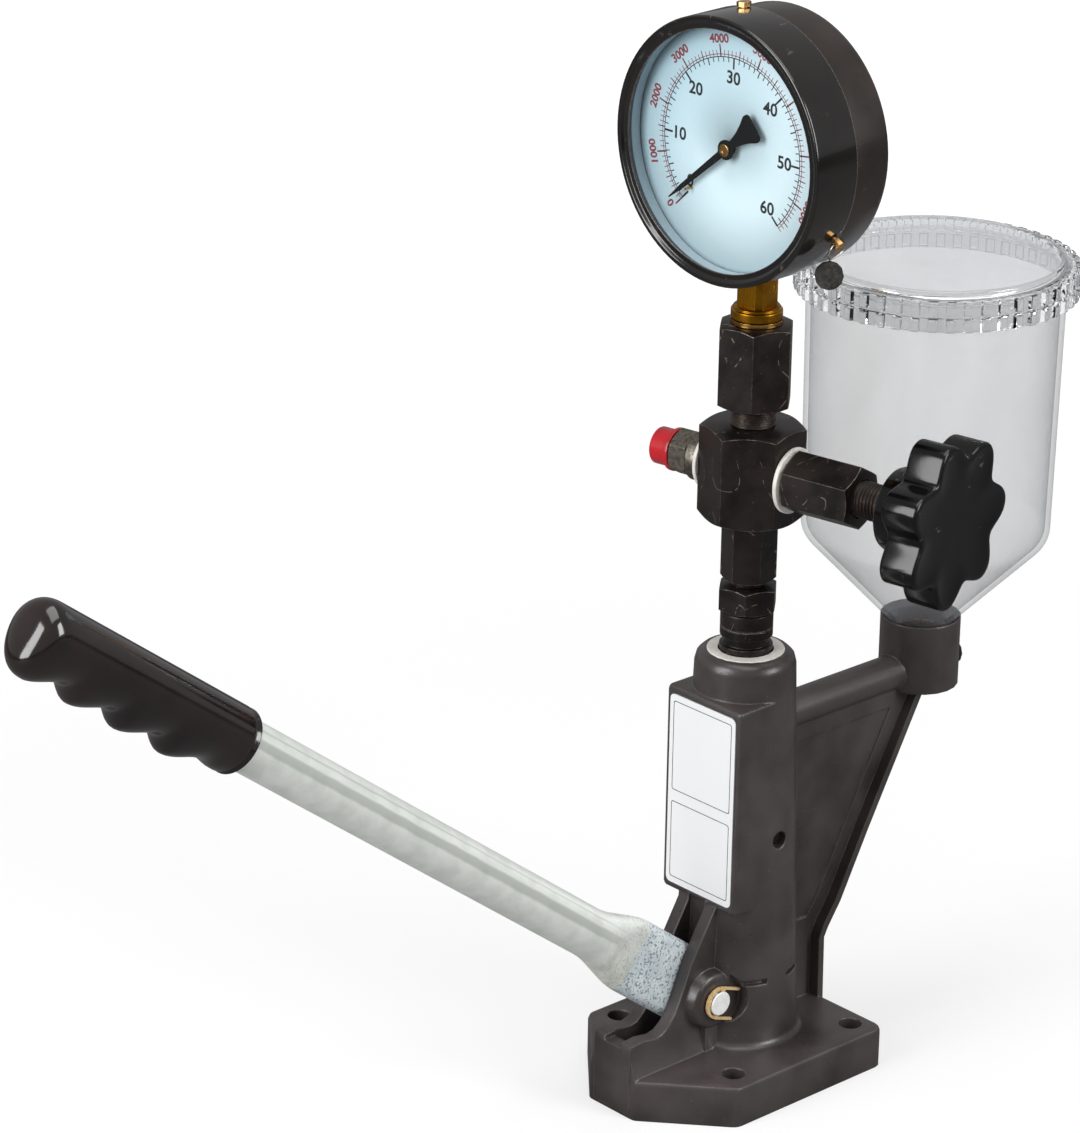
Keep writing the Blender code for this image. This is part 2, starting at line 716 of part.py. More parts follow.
def turn_down(bar, name, face_radius, corner_radius, bottom, top, chamfer, parent=None):
    """Turn both ends of a bar down to its face radius, as a lathe does."""
    outer = corner_radius * BLANK_MARGIN_SHARE
    profile = [(0.0, top), (face_radius, top), (outer, top - chamfer),
               (outer, bottom + chamfer), (face_radius, bottom), (0.0, bottom)]
    return trim(bar, as_tool(turned(name, profile), parent))


def hex_bar(name, flats, bottom, top, chamfer, finish, corner_deg=0.0, parent=None):
    """A hexagon bar with turned-down ends."""
    bar = as_part(hexagon(name, flats, bottom, top, corner_deg), finish, parent)
    return turn_down(bar, name + "_blank", flats / 2, flats / math.sqrt(3), bottom, top, chamfer,
                     parent)


def drilled(thing, name, radius, bottom, top, parent=None, steps=SMALL_STEPS):
    """Bore a thing along Z."""
    return cut(thing, as_tool(cylinder(name, radius, bottom, top, steps), parent))


def column_radius(height):
    """Radius of the tapered column at a height."""
    top = COLUMN_HEIGHT - COLUMN_SHOULDER
    share = (height - BASE_THICKNESS) / (top - BASE_THICKNESS)
    return COLUMN_FOOT_RADIUS + (COLUMN_HEAD_RADIUS - COLUMN_FOOT_RADIUS) * share


EAR_OUTER = EAR_SLOT_HALF + EAR_THICKNESS
BOSS_END = EAR_OUTER + BOSS_HEIGHT
BURIED_Z = BASE_THICKNESS - SINK
BOLT_X = BASE_HALF_WIDTH - BOLT_INSET_X
BOLT_REAR_Y = BASE_REAR_REACH - BOLT_REAR_INSET
PIN_HOLE_RADIUS = PIN_RADIUS + GAP
CUP_BORE_RADIUS = CUP_NECK_RADIUS + GAP + GAP
WEB_OUTER_LINE = [(CUP_REACH * a, CUP_BOSS_BOTTOM_Z * b) for a, b in WEB_OUTLINE_SHARES]


def base_plate():
    """The bench plate, with a narrow front, round corners and a soft top edge."""
    nose, chamfer = BASE_NOSE_HALF_WIDTH, BASE_CHAMFER_REACH
    front = BASE_FRONT_REACH - NOSE_STEP
    corners = [
        (-nose, -front, BASE_NOSE_RADIUS), (nose, -front, BASE_NOSE_RADIUS),
        (BASE_HALF_WIDTH, -chamfer, BASE_CORNER_RADIUS),
        (BASE_HALF_WIDTH, BASE_REAR_REACH, BASE_CORNER_RADIUS),
        (-BASE_HALF_WIDTH, BASE_REAR_REACH, BASE_CORNER_RADIUS),
        (-BASE_HALF_WIDTH, -chamfer, BASE_CORNER_RADIUS),
    ]
    plate = prism("stand_casting", rounded(corners), 0.0, BASE_THICKNESS)

    def on_top(edge):
        return all(vert.co.z > BASE_THICKNESS - MERGE for vert in edge.verts)

    return rounded_edges(plate, BASE_EDGE_ROUND, on_top)


def column_solid():
    """The tapered pump column, with a round shoulder and a small foot fillet."""
    top = COLUMN_HEIGHT
    shoulder = arc((COLUMN_HEAD_RADIUS - COLUMN_SHOULDER, top - COLUMN_SHOULDER),
                   COLUMN_SHOULDER, 90, 0)
    foot = COLUMN_FOOT_RADIUS + COLUMN_FOOT_FILLET
    fillet = arc((foot, BASE_THICKNESS + COLUMN_FOOT_FILLET), COLUMN_FOOT_FILLET, 180, 270)
    profile = [(0.0, top), *shoulder, *fillet, (foot, BURIED_Z), (0.0, BURIED_Z)]
    return as_tool(turned("column_solid", profile, FINE_STEPS))


def side_prism(name, outline, half_width, **where):
    """A prism on an outline in Y and Z, as wide as given across X."""
    return as_tool(prism(name, outline, -half_width, half_width), rotation=TO_SIDE_PLANE, **where)


def ear_block():
    """Both ears and the block in front of them, before the lever's slot is cut."""
    line = [(-BASE_FRONT_REACH * a, LABEL_BOX_BOTTOM_Z * b) for a, b in EAR_OUTLINE_SHARES]
    outline = [(0.0, SINK), (-BASE_FRONT_REACH, SINK), *line, (0.0, line[-1][1])]
    return side_prism("ear_block", outline, EAR_OUTER)


def apron():
    """The sloping foot that spreads from the ears onto the plate."""
    solid = box("apron", (-APRON_HALF_WIDTH, NOSE_STEP * 2 - BASE_FRONT_REACH, BURIED_Z),
                (APRON_HALF_WIDTH, -APRON_BACK_REACH, APRON_TOP_Z))
    for vert in solid.data.vertices:
        if vert.co.z > BURIED_Z + MERGE:
            vert.co.x *= (EAR_OUTER - NOSE_STEP) / APRON_HALF_WIDTH
    return as_tool(solid)


def pivot_boss():
    """Conical bosses on both ears, as one spool across them."""
    profile = [
        (0.0, BOSS_END), (BOSS_RIM_RADIUS, BOSS_END),
        (BOSS_RADIUS - BOSS_RIM_HEIGHT, BOSS_END - BOSS_RIM_HEIGHT), (BOSS_RADIUS, EAR_OUTER),
        (BOSS_RADIUS, -EAR_OUTER), (BOSS_RADIUS - BOSS_RIM_HEIGHT, BOSS_RIM_HEIGHT - BOSS_END),
        (BOSS_RIM_RADIUS, -BOSS_END), (0.0, -BOSS_END),
    ]
    spool = turned("pivot_boss", profile, ROUND_STEPS)
    return as_tool(spool, location=(0.0, -PIVOT_REACH, PIVOT_Z), rotation=TO_PLUS_X)


def pilasters():
    """Ribs that stand on the plate under the two pivot bosses."""
    reach = EAR_OUTER + PILASTER_DEPTH
    low = (-reach, -PIVOT_REACH - PILASTER_HALF_WIDTH, BURIED_Z)
    high = (reach, -PIVOT_REACH + PILASTER_HALF_WIDTH, PIVOT_Z)
    return as_tool(box("pilasters", low, high))


def lever_slot():
    """The gap between the ears, through the column's front wall to its bore."""
    back = column_radius(SLOT_WINDOW_TOP_Z) - SLOT_BACK_DEPTH
    upper_back = column_radius(LABEL_BOX_BOTTOM_Z) - SLOT_BACK_DEPTH
    front = BASE_FRONT_REACH + OVERRUN
    wall = BASE_FRONT_REACH - SLOT_FRONT_WALL
    top = LABEL_BOX_BOTTOM_Z + OVERRUN
    outline = [
        (0.0, SLOT_FLOOR_Z), (0.0, SLOT_WINDOW_TOP_Z), (-back, SLOT_WINDOW_TOP_Z),
        (-upper_back, top), (-front, top), (-front, SLOT_FRONT_TOP_Z), (-wall, SLOT_FRONT_TOP_Z),
        (-wall, SLOT_FLOOR_Z),
    ]
    return side_prism("lever_slot", outline, EAR_SLOT_HALF)


def offset_inwards(line, distance):
    """Move a line in the side plane towards the column by a distance."""
    moved = []
    for i, point in enumerate(line):
        before = Vector(line[max(i - 1, 0)])
        after = Vector(line[min(i + 1, len(line) - 1)])
        along = (after - before).normalized()
        moved.append((point[0] - along.y * distance, point[1] + along.x * distance))
    return moved


def web():
    """The thin plate between the column, the arm and the flange."""
    outline = [(0.0, BURIED_Z), *WEB_OUTER_LINE, (CUP_REACH, ARM_Z), (0.0, ARM_Z)]
    return side_prism("web", outline, WEB_THICKNESS / 2)


def flange():
    """The broad outer edge of the web."""
    outline = WEB_OUTER_LINE + offset_inwards(WEB_OUTER_LINE, FLANGE_THICKNESS)[::-1]
    return side_prism("flange", outline, FLANGE_HALF_WIDTH)


def point_at_height(line, height):
    """The point of a rising line at a height, carried on past its last point if need be."""
    start = max(i for i in range(len(line) - 1) if i == 0 or line[i][1] < height)
    low, high = Vector(line[start]), Vector(line[start + 1])
    return tuple(low + (high - low) * ((height - low.y) / (high.y - low.y)))


def web_panel(side):
    """A shallow three-cornered panel sunk into one face of the web."""
    inner = offset_inwards(WEB_OUTER_LINE, FLANGE_THICKNESS + WEB_PANEL_MARGIN)[2:]
    top = ARM_Z - ARM_RADIUS - WEB_PANEL_MARGIN
    line = [point for point in inner if point[1] < top]
    foot = inner[0][1]
    outline = [(column_radius(foot) + WEB_PANEL_MARGIN, foot), *line,
               point_at_height(inner, top), (column_radius(top) + WEB_PANEL_MARGIN, top)]
    face = WEB_THICKNESS / 2
    low, high = sorted((side * (face - WEB_PANEL_DEPTH), side * (FLANGE_HALF_WIDTH + OVERRUN)))
    return as_tool(prism("web_panel", outline, low, high), rotation=TO_SIDE_PLANE)


def arm():
    """The round bar from the column to the cup boss."""
    start = column_radius(ARM_Z) - OVERRUN
    end = CUP_REACH - CUP_BOSS_RADIUS + OVERRUN
    bar = cylinder("arm", ARM_RADIUS, start, end, SMALL_STEPS)
    return as_tool(bar, location=(0.0, 0.0, ARM_Z), rotation=TO_PLUS_Y)


def cup_boss():
    """The upright boss at the arm's end."""
    boss = cylinder("cup_boss", CUP_BOSS_RADIUS, CUP_BOSS_BOTTOM_Z, CUP_BOSS_TOP_Z)
    return as_tool(boss, location=(0.0, CUP_REACH, 0.0))


def cup_bore():
    """The socket for the cup's neck, flared where the cone enters."""
    top = CUP_BOSS_TOP_Z
    flare = CUP_BORE_RADIUS + CUP_BOSS_FLARE
    profile = [(0.0, top + OVERRUN), (flare, top + OVERRUN), (flare, top),
               (CUP_BORE_RADIUS, top - CUP_BOSS_FLARE), (CUP_BORE_RADIUS, CUP_SEAT_Z),
               (0.0, CUP_SEAT_Z)]
    return as_tool(turned("cup_bore", profile), location=(0.0, CUP_REACH, 0.0))


def column_bore():
    """The stepped bore of the column, with the ring's recess in its mouth."""
    top = COLUMN_HEIGHT
    mouth = TOP_RING_RADIUS + GAP
    profile = [
        (0.0, top + OVERRUN), (mouth, top + OVERRUN), (mouth, top - RING_RECESS_DEPTH),
        (BARREL_BORE_RADIUS, top - RING_RECESS_DEPTH), (BARREL_BORE_RADIUS, BARREL_SEAT_Z),
        (TAPPET_BORE_RADIUS, BARREL_SEAT_Z), (TAPPET_BORE_RADIUS, TAPPET_BORE_FLOOR_Z),
        (0.0, TAPPET_BORE_FLOOR_Z),
    ]
    return as_tool(turned("column_bore", profile))


def slit(start_deg, end_deg):
    """One thin curved slit near the column's foot."""
    inner = column_radius(SLIT_Z) - SLIT_DEPTH
    outer = COLUMN_FOOT_RADIUS + OVERRUN
    outline = arc((0.0, 0.0), outer, start_deg, end_deg)
    outline += arc((0.0, 0.0), inner, end_deg, start_deg)
    low = SLIT_Z - SLIT_HEIGHT / 2
    return as_tool(prism("slit", outline, low, low + SLIT_HEIGHT))


def label_recess():
    """The shallow bed of the label plate."""
    half_x = LABEL_BOX_HALF_WIDTH - LABEL_MARGIN_X
    half_z = (LABEL_BOX_TOP_Z - LABEL_BOX_BOTTOM_Z) / 2 - LABEL_MARGIN_Z
    middle = (LABEL_BOX_TOP_Z + LABEL_BOX_BOTTOM_Z) / 2
    outline = rounded_box(half_x, half_z, LABEL_CORNER_RADIUS)
    bed = prism("label_recess", outline, LABEL_BOX_FRONT - LABEL_RECESS, LABEL_BOX_FRONT + OVERRUN)
    return as_tool(bed, location=(0.0, 0.0, middle), rotation=TO_MINUS_Y)


def label_box():
    """The flat box on the column's front that carries the label."""
    low = (-LABEL_BOX_HALF_WIDTH, -LABEL_BOX_FRONT, LABEL_BOX_BOTTOM_Z)
    high = (LABEL_BOX_HALF_WIDTH, 0.0, LABEL_BOX_TOP_Z)
    return as_tool(rounded_edges(box("label_box", low, high), LABEL_BOX_ROUND))


def label_face():
    """Cutter that planes the column level with the label box's front."""
    wide = COLUMN_FOOT_RADIUS
    low = (-wide, -wide - OVERRUN, LABEL_BOX_BOTTOM_Z + LABEL_BOX_ROUND)
    high = (wide, -LABEL_BOX_FRONT, LABEL_BOX_TOP_Z)
    return as_tool(box("label_face", low, high))


def make_stand():
    """The casting that everything else is fixed to."""
    stand = as_part(base_plate(), CAST)
    fuse(stand, column_solid(), ear_block(), apron(), pilasters(), pivot_boss())
    fuse(stand, web(), flange(), arm(), cup_boss())
    cut(stand, lever_slot())
    cut(stand, label_face())
    fuse(stand, label_box())
    cut(stand, column_bore(), cup_bore(), label_recess(), web_panel(1), web_panel(-1))
    pin_hole = cylinder("pin_hole", PIN_HOLE_RADIUS, -BOSS_END - OVERRUN, BOSS_END + OVERRUN)
    cut(stand, as_tool(pin_hole, location=(0.0, -PIVOT_REACH, PIVOT_Z), rotation=TO_PLUS_X))
    for side in (-1, 1):
        low, high = sorted((side * BOSS_END, side * (BOSS_END + SPOT_FACE_RADIUS)))
        face = cylinder("spot_face", SPOT_FACE_RADIUS, low, high)
        cut(stand, as_tool(face, location=(0.0, -PIVOT_REACH, PIVOT_Z), rotation=TO_PLUS_X))
    for start, end in SLIT_ANGLES_DEG:
        cut(stand, slit(start, end), slit(180 - end, 180 - start))
    lock_hole = cylinder("lock_hole", LOCK_HOLE_RADIUS, TAPPET_BORE_RADIUS,
                         COLUMN_FOOT_RADIUS + OVERRUN, SMALL_STEPS)
    cut(stand, as_tool(lock_hole, location=(0.0, 0.0, LOCK_HOLE_Z), rotation=TO_PLUS_X))
    fuel_way = cylinder("fuel_way", FUEL_WAY_RADIUS, TAPPET_BORE_RADIUS, CUP_REACH, TINY_STEPS)
    cut(stand, as_tool(fuel_way, location=(0.0, 0.0, ARM_Z), rotation=TO_PLUS_Y))
    clamp_hole = cylinder("clamp_hole", CLAMP_SCREW_RADIUS + GAP, CUP_REACH,
                          CUP_REACH + CUP_BOSS_RADIUS + OVERRUN, SMALL_STEPS)
    cut(stand, as_tool(clamp_hole, location=(0.0, 0.0, ARM_Z), rotation=TO_PLUS_Y))
    for x in (-BOLT_X, BOLT_X):
        for y in (-BOLT_FRONT_REACH, BOLT_REAR_Y):
            hole = cylinder("bolt_hole", BOLT_HOLE_RADIUS, -OVERRUN, BASE_THICKNESS + OVERRUN,
                            ROUND_STEPS)
            cut(stand, as_tool(hole, location=(x, y, 0.0)))


def make_label():
    """The blank label plate, with a clearance all round its bed."""
    half_x = LABEL_BOX_HALF_WIDTH - LABEL_MARGIN_X - GAP
    half_z = (LABEL_BOX_TOP_Z - LABEL_BOX_BOTTOM_Z) / 2 - LABEL_MARGIN_Z - GAP
    middle = (LABEL_BOX_TOP_Z + LABEL_BOX_BOTTOM_Z) / 2
    outline = rounded_box(half_x, half_z, LABEL_CORNER_RADIUS - GAP)
    back = LABEL_BOX_FRONT - LABEL_RECESS + GAP
    plate = prism("label_plate", outline, back, back + LABEL_THICKNESS)
    as_part(plate, LABEL_WHITE, location=(0.0, 0.0, middle), rotation=TO_MINUS_Y)


NOSE_DROP_DEG = LEVER_TRAVEL_DEG / 2
NOSE_LIFT_HALF = NOSE_REACH * math.sin(math.radians(NOSE_DROP_DEG))
TAPPET_FOOT_Z = PIVOT_Z - NOSE_LIFT_HALF + NOSE_RADIUS + GAP
TAPPET_TOP_Z = TAPPET_FOOT_Z + TAPPET_FOOT_HEIGHT + TAPPET_HEIGHT
SPRING_SEAT_Z = TAPPET_TOP_Z + GAP
SPRING_FOOT_Z = SPRING_SEAT_Z + SPRING_SEAT_THICKNESS + GAP
BARREL_FOOT_Z = BARREL_SEAT_Z + GAP
BARREL_TOP_Z = COLUMN_HEIGHT - RING_RECESS_DEPTH - GAP
BARREL_RADIUS = BARREL_BORE_RADIUS - GAP
ADAPTOR_FOOT_Z = BARREL_TOP_Z - ADAPTOR_THREAD_DEPTH
DELIVERY_SEAT_Z = ADAPTOR_FOOT_Z - DELIVERY_SEAT_DEPTH


def coil(radius, bottom, top, turns, points_per_turn):
    """Points of a helix about Z."""
    count = turns * points_per_turn
    points = []
    for i in range(count + 1):
        angle = math.tau * i / points_per_turn
        height = bottom + (top - bottom) * i / count
        points.append((radius * math.cos(angle), radius * math.sin(angle), height))
    return points


def make_pump():
    """The pump barrel in the column, and the plunger that the lever lifts."""
    plunger_bore = PLUNGER_RADIUS + GAP
    socket = ADAPTOR_THREAD_RADIUS + GAP
    profile = [
        (BARREL_RADIUS, BARREL_TOP_Z), (BARREL_RADIUS, BARREL_FOOT_Z),
        (plunger_bore, BARREL_FOOT_Z), (plunger_bore, DELIVERY_SEAT_Z),
        (OIL_WAY_RADIUS, DELIVERY_SEAT_Z), (OIL_WAY_RADIUS, ADAPTOR_FOOT_Z - GAP),
        (socket, ADAPTOR_FOOT_Z - GAP), (socket, BARREL_TOP_Z),
    ]
    barrel = as_part(turned("pump_barrel", profile, ring=True), STEEL)
    inlet = cylinder("inlet_port", FUEL_WAY_RADIUS, 0.0, BARREL_RADIUS + OVERRUN, TINY_STEPS)
    cut(barrel, as_tool(inlet, location=(0.0, 0.0, ARM_Z), rotation=TO_PLUS_Y))

    plunger_foot = SPRING_SEAT_Z
    as_part(cylinder("plunger", PLUNGER_RADIUS, plunger_foot, PLUNGER_TOP_Z, SMALL_STEPS), STEEL)
    seat = [
        (SPRING_SEAT_RADIUS, SPRING_SEAT_Z + SPRING_SEAT_THICKNESS),
        (SPRING_SEAT_RADIUS, SPRING_SEAT_Z), (PLUNGER_RADIUS + GAP, SPRING_SEAT_Z),
        (PLUNGER_RADIUS + GAP, SPRING_SEAT_Z + SPRING_SEAT_THICKNESS),
    ]
    as_part(turned("spring_seat", seat, ring=True), STEEL)
    step = TAPPET_FOOT_Z + TAPPET_FOOT_HEIGHT
    tappet = [
        (0.0, TAPPET_TOP_Z), (TAPPET_RADIUS, TAPPET_TOP_Z), (TAPPET_RADIUS, step),
        (TAPPET_FOOT_RADIUS, step), (TAPPET_FOOT_RADIUS, TAPPET_FOOT_Z), (0.0, TAPPET_FOOT_Z),
    ]
    as_part(turned("tappet", tappet), STEEL)
    low = SPRING_FOOT_Z + SPRING_WIRE_RADIUS
    high = BARREL_FOOT_Z - GAP - SPRING_WIRE_RADIUS
    points = coil(SPRING_MEAN_RADIUS, low, high, SPRING_TURNS, SPRING_POINTS_PER_TURN)
    as_part(wire("return_spring", points, SPRING_WIRE_RADIUS), STEEL)

    screw_end = column_radius(LOCK_HOLE_Z) - LOCK_SCREW_SETBACK
    screw = cylinder("barrel_lock_screw", LOCK_HOLE_RADIUS - GAP, screw_end - LOCK_SCREW_LENGTH,
                     screw_end, SMALL_STEPS)
    as_part(screw, BLACK_STEEL, location=(0.0, 0.0, LOCK_HOLE_Z), rotation=TO_PLUS_X)


def make_delivery():
    """The adaptor above the barrel with the delivery valve inside, its ring and lock nut."""
    ring_bottom = COLUMN_HEIGHT - RING_RECESS_DEPTH + GAP
    ring_top = COLUMN_HEIGHT + TOP_RING_PROUD
    ring_hole = ADAPTOR_COLLAR_RADIUS + GAP
    ring = [(TOP_RING_RADIUS, ring_top), (TOP_RING_RADIUS, ring_bottom), (ring_hole, ring_bottom),
            (ring_hole, ring_top)]
    as_part(turned("column_top_ring", ring, ring=True), WHITE)

    thread = ADAPTOR_THREAD_RADIUS
    socket = RISER_STUD_RADIUS + GAP
    socket_floor = ADAPTOR_TOP_Z - ADAPTOR_SOCKET_DEPTH
    ball_z = ADAPTOR_FOOT_Z + DELIVERY_BALL_RADIUS + GAP
    chamber_top = ball_z + DELIVERY_BALL_RADIUS + DELIVERY_SPRING_LENGTH
    head = ADAPTOR_HEAD_RADIUS
    profile = [
        (head - ADAPTOR_CHAMFER, ADAPTOR_TOP_Z), (head, ADAPTOR_TOP_Z - ADAPTOR_CHAMFER),
        (head, ADAPTOR_NECK_TOP_Z + ADAPTOR_CHAMFER), (ADAPTOR_NECK_RADIUS, ADAPTOR_NECK_TOP_Z),
        (ADAPTOR_NECK_RADIUS, ADAPTOR_COLLAR_TOP_Z), (ADAPTOR_COLLAR_RADIUS, ADAPTOR_COLLAR_TOP_Z),
        (ADAPTOR_COLLAR_RADIUS, BARREL_TOP_Z + GAP), (thread, BARREL_TOP_Z + GAP),
        (thread, ADAPTOR_FOOT_Z), (DELIVERY_CHAMBER_RADIUS, ADAPTOR_FOOT_Z),
        (DELIVERY_CHAMBER_RADIUS, chamber_top), (OIL_WAY_RADIUS, chamber_top),
        (OIL_WAY_RADIUS, socket_floor), (socket, socket_floor), (socket, ADAPTOR_TOP_Z),
    ]
    as_part(turned("delivery_adaptor", profile, ROUND_STEPS, ring=True), BLACK_STEEL)

    ball = bmesh.new()
    bmesh.ops.create_uvsphere(ball, u_segments=SMALL_STEPS, v_segments=TINY_STEPS,
                              radius=DELIVERY_BALL_RADIUS)
    as_part(from_bmesh("delivery_ball", ball), STEEL, location=(0.0, 0.0, ball_z))
    low = ball_z + DELIVERY_BALL_RADIUS + GAP + DELIVERY_SPRING_WIRE
    high = chamber_top - GAP - DELIVERY_SPRING_WIRE
    radius = DELIVERY_BALL_RADIUS
    points = coil(radius, low, high, DELIVERY_SPRING_TURNS, SPRING_POINTS_PER_TURN)
    as_part(wire("delivery_spring", points, DELIVERY_SPRING_WIRE, 0), STEEL)

    foot = ADAPTOR_TOP_Z + GAP
    nut = hex_bar("lock_nut", LOCK_NUT_FLATS, foot, LOCK_NUT_TOP_Z, LOCK_NUT_CHAMFER, BLACK_STEEL,
                  UNION_CORNER_ANGLE_DEG)
    drilled(nut, "lock_nut_bore", RISER_STUD_RADIUS + GAP, foot - OVERRUN,
            LOCK_NUT_TOP_Z + OVERRUN)


def make_riser():
    """The narrow hexagon that carries the cross fitting, with its stud and plug."""
    riser = hex_bar("riser", RISER_FLATS, RISER_FOOT_Z, RISER_TOP_Z, RISER_CHAMFER, BLACK_STEEL,
                    CROSS_FACE_ANGLE_DEG + HALF_HEX_DEG)
    stud_foot = ADAPTOR_TOP_Z - ADAPTOR_SOCKET_DEPTH + GAP
    stud = cylinder("riser_stud", RISER_STUD_RADIUS, stud_foot, RISER_FOOT_Z + SINK, SMALL_STEPS)
    plug = cylinder("riser_plug", RISER_PLUG_RADIUS, RISER_TOP_Z - SINK,
                    CROSS_BOTTOM_Z + RISER_PLUG_LENGTH, SMALL_STEPS)
    fuse(riser, as_tool(stud), as_tool(plug))
    drilled(riser, "riser_way", OIL_WAY_RADIUS, stud_foot - OVERRUN,
            CROSS_BOTTOM_Z + RISER_PLUG_LENGTH + OVERRUN, steps=TINY_STEPS)


VALVE_FRAME = frame_at("valve_axis", (0.0, 0.0, VALVE_AXIS_Z),
                       (0.0, math.radians(90), math.radians(CROSS_FACE_ANGLE_DEG)))
OUTLET_FRAME = frame_at("outlet_axis", (0.0, 0.0, VALVE_AXIS_Z),
                        (0.0, math.radians(90), math.radians(CROSS_FACE_ANGLE_DEG + 180)))
CROSS_FACE = CROSS_FLATS / 2


def make_cross():
    """The large hexagon where the pump, the gauge, the valve and the outlet meet."""
    cross = hex_bar("cross_body", CROSS_FLATS, CROSS_BOTTOM_Z, CROSS_TOP_Z, CROSS_CHAMFER,
                    BLACK_STEEL, CROSS_FACE_ANGLE_DEG + HALF_HEX_DEG)
    drilled(cross, "riser_socket", RISER_PLUG_RADIUS + GAP, CROSS_BOTTOM_Z - OVERRUN,
            CROSS_BOTTOM_Z + RISER_PLUG_LENGTH + GAP)
    drilled(cross, "neck_socket", NECK_PLUG_RADIUS + GAP, CROSS_TOP_Z - NECK_PLUG_LENGTH - GAP,
            CROSS_TOP_Z + OVERRUN)
    drilled(cross, "cross_way", OIL_WAY_RADIUS, CROSS_BOTTOM_Z + RISER_PLUG_LENGTH - SINK,
            CROSS_TOP_Z - NECK_PLUG_LENGTH + SINK, steps=TINY_STEPS)
    deep = CROSS_FACE - SIDE_SOCKET_DEPTH
    for name, frame in (("valve_socket", VALVE_FRAME), ("outlet_socket", OUTLET_FRAME)):
        drilled(cross, name, SIDE_SOCKET_RADIUS, deep, CROSS_FACE + OVERRUN, frame)
    drilled(cross, "side_way", OIL_WAY_RADIUS, -deep - SINK, deep + SINK, VALVE_FRAME, TINY_STEPS)


def make_gauge_neck():
    """The short round neck, the gauge union above it and the brass washer."""
    union_floor = UNION_TOP_Z - STEM_THREAD_LENGTH - GAP
    foot = CROSS_TOP_Z - NECK_PLUG_LENGTH
    top = UNION_BOTTOM_Z + NECK_PLUG_LENGTH
    profile = [
        (NECK_PLUG_RADIUS, top), (NECK_PLUG_RADIUS, UNION_BOTTOM_Z - GAP),
        (NECK_RADIUS, UNION_BOTTOM_Z - GAP), (NECK_RADIUS, CROSS_TOP_Z + GAP),
        (NECK_PLUG_RADIUS, CROSS_TOP_Z + GAP), (NECK_PLUG_RADIUS, foot), (OIL_WAY_RADIUS, foot),
        (OIL_WAY_RADIUS, top),
    ]
    as_part(turned("upper_neck", profile, ROUND_STEPS, ring=True), BLACK_STEEL)
    union = hex_bar("gauge_union", UNION_FLATS, UNION_BOTTOM_Z, UNION_TOP_Z, UNION_CHAMFER,
                    BLACK_STEEL, UNION_CORNER_ANGLE_DEG)
    drilled(union, "union_foot", NECK_PLUG_RADIUS + GAP, UNION_BOTTOM_Z - OVERRUN, top + GAP)
    drilled(union, "union_way", OIL_WAY_RADIUS, top - SINK, union_floor + SINK, steps=TINY_STEPS)
    drilled(union, "union_mouth", STEM_THREAD_RADIUS + GAP, union_floor, UNION_TOP_Z + OVERRUN)
    low = UNION_TOP_Z + GAP
    high = low + GAUGE_WASHER_THICKNESS
    hole = STEM_THREAD_RADIUS + GAP
    washer = [(GAUGE_WASHER_RADIUS, high), (GAUGE_WASHER_RADIUS, low), (hole, low), (hole, high)]
    as_part(turned("gauge_washer", washer, ROUND_STEPS, ring=True), GOLD_ZINC)


GAUGE_FRAME = frame_at("gauge_axis", (0.0, 0.0, GAUGE_Z),
                       (math.radians(90), 0.0, math.radians(GAUGE_YAW_DEG)))
CASE_INNER = CASE_RADIUS - CASE_WALL
LIP_RADIUS = BEZEL_RADIUS - BEZEL_WALL - GAP
LIP_INNER = LIP_RADIUS - CASE_WALL
GLASS_FRONT = BEZEL_FRONT - BEZEL_LIP - GAP
GLASS_BACK = GLASS_FRONT - GLASS_THICKNESS
GLASS_RADIUS = BEZEL_RADIUS - BEZEL_WALL - GAP


def stem_outline(grow=0.0):
    """The brass stem's square with cut corners."""
    half = STEM_FLATS / 2 + grow
    inner = half - STEM_CORNER_CUT
    return [(inner, -half), (half, -inner), (half, inner), (inner, half), (-inner, half),
            (-half, inner), (-half, -inner), (-inner, -half)]


def make_gauge_stem():
    """The brass stem, from its thread in the union to its block inside the case."""
    collar_foot = UNION_TOP_Z + GAP + GAUGE_WASHER_THICKNESS + GAP
    thread_foot = UNION_TOP_Z - STEM_THREAD_LENGTH
    block_top = GAUGE_Z - STEM_INNER_TOP
    turn = math.radians(STEM_TURN_DEG)
    stem = prism("gauge_stem", stem_outline(), STEM_COLLAR_TOP_Z - SINK, block_top)
    as_part(stem, BRASS, rotation=(0.0, 0.0, turn))
    collar = cylinder("stem_collar", STEM_COLLAR_RADIUS, collar_foot, STEM_COLLAR_TOP_Z, ROUND_STEPS)
    thread = cylinder("stem_thread", STEM_THREAD_RADIUS, thread_foot, collar_foot + SINK, ROUND_STEPS)
    fuse(stem, as_tool(collar), as_tool(thread))
    way_top = block_top - STEM_FLATS / 2
    drilled(stem, "stem_way", OIL_WAY_RADIUS, thread_foot - OVERRUN, way_top, steps=TINY_STEPS)
    side_way = cylinder("stem_side_way", OIL_WAY_RADIUS / 2, 0.0, STEM_FLATS, TINY_STEPS)
    cut(stem, as_tool(side_way, location=(0.0, 0.0, way_top - OIL_WAY_RADIUS),
                      rotation=TO_PLUS_X))


def stem_gap(name):
    """Cutter that lets the stem through the case's wall."""
    low = GAUGE_Z - BEZEL_RADIUS - OVERRUN
    high = GAUGE_Z - CASE_INNER + OVERRUN
    opening = prism(name, stem_outline(GAP), low, high)
    return as_tool(opening, rotation=(0.0, 0.0, math.radians(STEM_TURN_DEG)))


